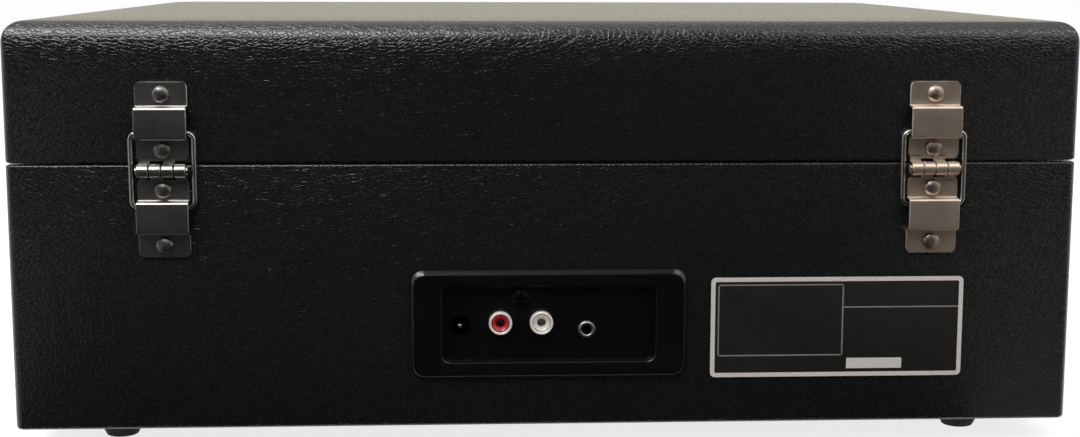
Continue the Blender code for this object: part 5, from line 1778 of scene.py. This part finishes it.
class PLAYER_OT_controls(bpy.types.Operator):
    """Mould the knobs and the levers of the deck"""

    bl_idname = "player.controls"
    bl_label = "Controls"

    def execute(self, context):
        """Make the knobs, the speed lever and the cue lever."""
        sizes = context.scene.player_deck
        plastic = grained(
            "control_plastic", sizes.arm, 0.4, 1700.0, depth=0.00003, Specular_IOR_Level=0.4
        )
        mark = grained("pointer_paint", sizes.mark, 0.5, 1500.0, vary=0.08)
        self.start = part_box("deck_plate")[0].z + DECK_T + KNOB_GAP
        for body in ("volume", "function"):
            self.knob(f"{body}_knob", body, sizes.knob_ribs, plastic, mark)
        self.speed(plastic, mark)
        self.cue(plastic)
        return {"FINISHED"}

    def ribbed(self, radius, z, ribs, depth):
        """Ring of a ribbed knob."""
        points = circle(radius, z, ribs * 4)
        share = (radius - depth) / radius
        for step in range(ribs * 4):
            if step % 4 in (2, 3):
                x, y, _ = points[step]
                points[step] = (x * share, y * share, z)
        return points

    def pointer(self, shape, width, length, at):
        """Add a painted line."""
        rings = eased(width, length, 0, PAINT_T, HAIR / 6, HAIR / 6, HAIR, 2)
        add(shape, rings, at=at, finish=1)

    def knob(self, node, body, ribs, plastic, mark):
        """A ribbed knob with a dished top and a painted pointer."""
        low, high, at, span = spans(node)
        radius = span.x / 2
        start = self.start
        tall = high.z - start
        sunk = high.z - HAIR
        rings = []
        for reach, z, depth in (
            (KNOB_SHAFT_R, low.z, 0),
            (KNOB_SHAFT_R, start, 0),
            (radius - HAIR, start, 0),
            (radius, start + HAIR, 0),
            (radius, start + tall * 0.18, 0),
            (radius * 0.97, start + tall * 0.22, HAIR),
            (radius * 0.95, start + tall * 0.82, HAIR),
            (radius * 0.92, sunk, 0),
            (radius * 0.86, high.z, 0),
            (radius * 0.7, high.z, 0),
            (radius * 0.62, sunk, 0),
            (radius * 0.05, sunk, 0),
        ):
            rings.append(self.ribbed(reach, z, ribs, depth))
        shape = bmesh.new()
        add(shape, rings, at=(at.x, at.y, 0))
        spot = (at.x, at.y + radius * 0.55, high.z - HAIR / 6)
        self.pointer(shape, 0.0009, radius * 0.5, spot)
        piece(f"{node}_moulding", shape, body, (plastic, mark), (node,), 40)

    def speed(self, plastic, mark):
        """The speed lever: a round hub with a finger."""
        low, high, at, span = spans("speed_lever")
        hub = span.x / 2
        y = high.y - hub
        start = self.start
        profile = [(KNOB_SHAFT_R, low.z), (KNOB_SHAFT_R, start), (hub, start)]
        profile += [(hub, high.z - 0.001), (hub * 0.93, high.z - HAIR)]
        profile += [(hub * 0.8, high.z), (hub * 0.5, high.z - HAIR)]
        shape = bmesh.new()
        add(shape, turned(profile, 48), at=(at.x, y, 0))
        reach = y - low.y
        top = high.z - 0.0008
        finger = eased(0.0035, reach, start + 0.0006, top, HAIR, 0.0008, 0.0015, 4)
        add(shape, finger, at=(at.x, y - reach / 2, 0))
        spot = (at.x, low.y + reach * 0.28, top - HAIR / 6)
        self.pointer(shape, 0.0008, reach * 0.3, spot)
        name = "speed_lever_moulding"
        piece(name, shape, "speed", (plastic, mark), ("speed_lever",))

    def cue(self, plastic):
        """The cue lever: a pivot hub and a tapered arm with a thumb pad."""
        low, high, at, span = spans("cue_lever")
        half = span.x / 2
        wide = 2 * (half - EAR_T)
        hub = CUE_HUB_R
        y, z = high.y - hub, low.z + hub
        pin = [(0.0013, -half), (PIVOT_R, HAIR - half), (PIVOT_R, -wide / 2), (hub, -wide / 2)]
        shape = bmesh.new()
        add(shape, turned(mirrored(pin), 32), "X", (at.x, y, z))
        rings = []
        for share, across, tall, rise in (
            (0.0, 0.75, 0.0024, 0.0006),
            (0.5, 0.6, 0.0022, 0.0016),
            (0.75, 0.75, 0.0022, 0.0021),
            (0.97, 0.78, 0.0022, 0.0026),
            (1.0, 0.6, 0.0014, 0.0026),
        ):
            flat = rounded(wide * across, tall, tall * 0.4, 0, 4)
            place = Vector((at.x, y - share * (y - low.y), z + rise))
            rings.append([place + Vector((right, 0, up)) for right, up, _ in flat])
        add(shape, rings)
        name = "cue_lever_moulding"
        piece(name, shape, "cue", (plastic,), ("cue_lever",), 40)


class PLAYER_PT_sidebar(bpy.types.Panel):
    """Sizes, colours and steps of the record player"""

    bl_idname = "PLAYER_PT_sidebar"
    bl_label = "Record Player"
    bl_space_type = "VIEW_3D"
    bl_region_type = "UI"
    bl_category = "Player"

    def draw(self, context):
        """List the settings and the steps."""
        for name in SETTINGS:
            group = getattr(context.scene, name)
            box = self.layout.box()
            box.label(text=group.bl_rna.name)
            for key in group.bl_rna.properties.keys():
                if key not in {"rna_type", "name"}:
                    box.prop(group, key)
        for step in STEPS:
            self.layout.operator(step.bl_idname)


SETTINGS = {
    "player_case": CaseSettings,
    "player_hinges": HingeSettings,
    "player_panel": PanelSettings,
    "player_front": FrontSettings,
    "player_deck": DeckSettings,
    "player_stage": StageSettings,
}
STEPS = (
    PLAYER_OT_stage,
    PLAYER_OT_case,
    PLAYER_OT_feet,
    PLAYER_OT_hinges,
    PLAYER_OT_jack_panel,
    PLAYER_OT_sockets,
    PLAYER_OT_rating_plate,
    PLAYER_OT_handle,
    PLAYER_OT_latches,
    PLAYER_OT_speakers,
    PLAYER_OT_deck,
    PLAYER_OT_tonearm,
    PLAYER_OT_controls,
)


def register():
    """Register the settings, the steps and the sidebar."""
    for name, group in SETTINGS.items():
        bpy.utils.register_class(group)
        setattr(bpy.types.Scene, name, PointerProperty(type=group))
    for made in (*STEPS, PLAYER_PT_sidebar):
        bpy.utils.register_class(made)


def unregister():
    """Remove what register added."""
    for made in (PLAYER_PT_sidebar, *reversed(STEPS)):
        bpy.utils.unregister_class(made)
    for name, group in reversed(SETTINGS.items()):
        delattr(bpy.types.Scene, name)
        bpy.utils.unregister_class(group)


def main():
    """Register the classes and take the steps in order."""
    register()
    for step in STEPS:
        space, name = step.bl_idname.split(".")
        getattr(getattr(bpy.ops, space), name)()


if __name__ == "__main__":
    main()
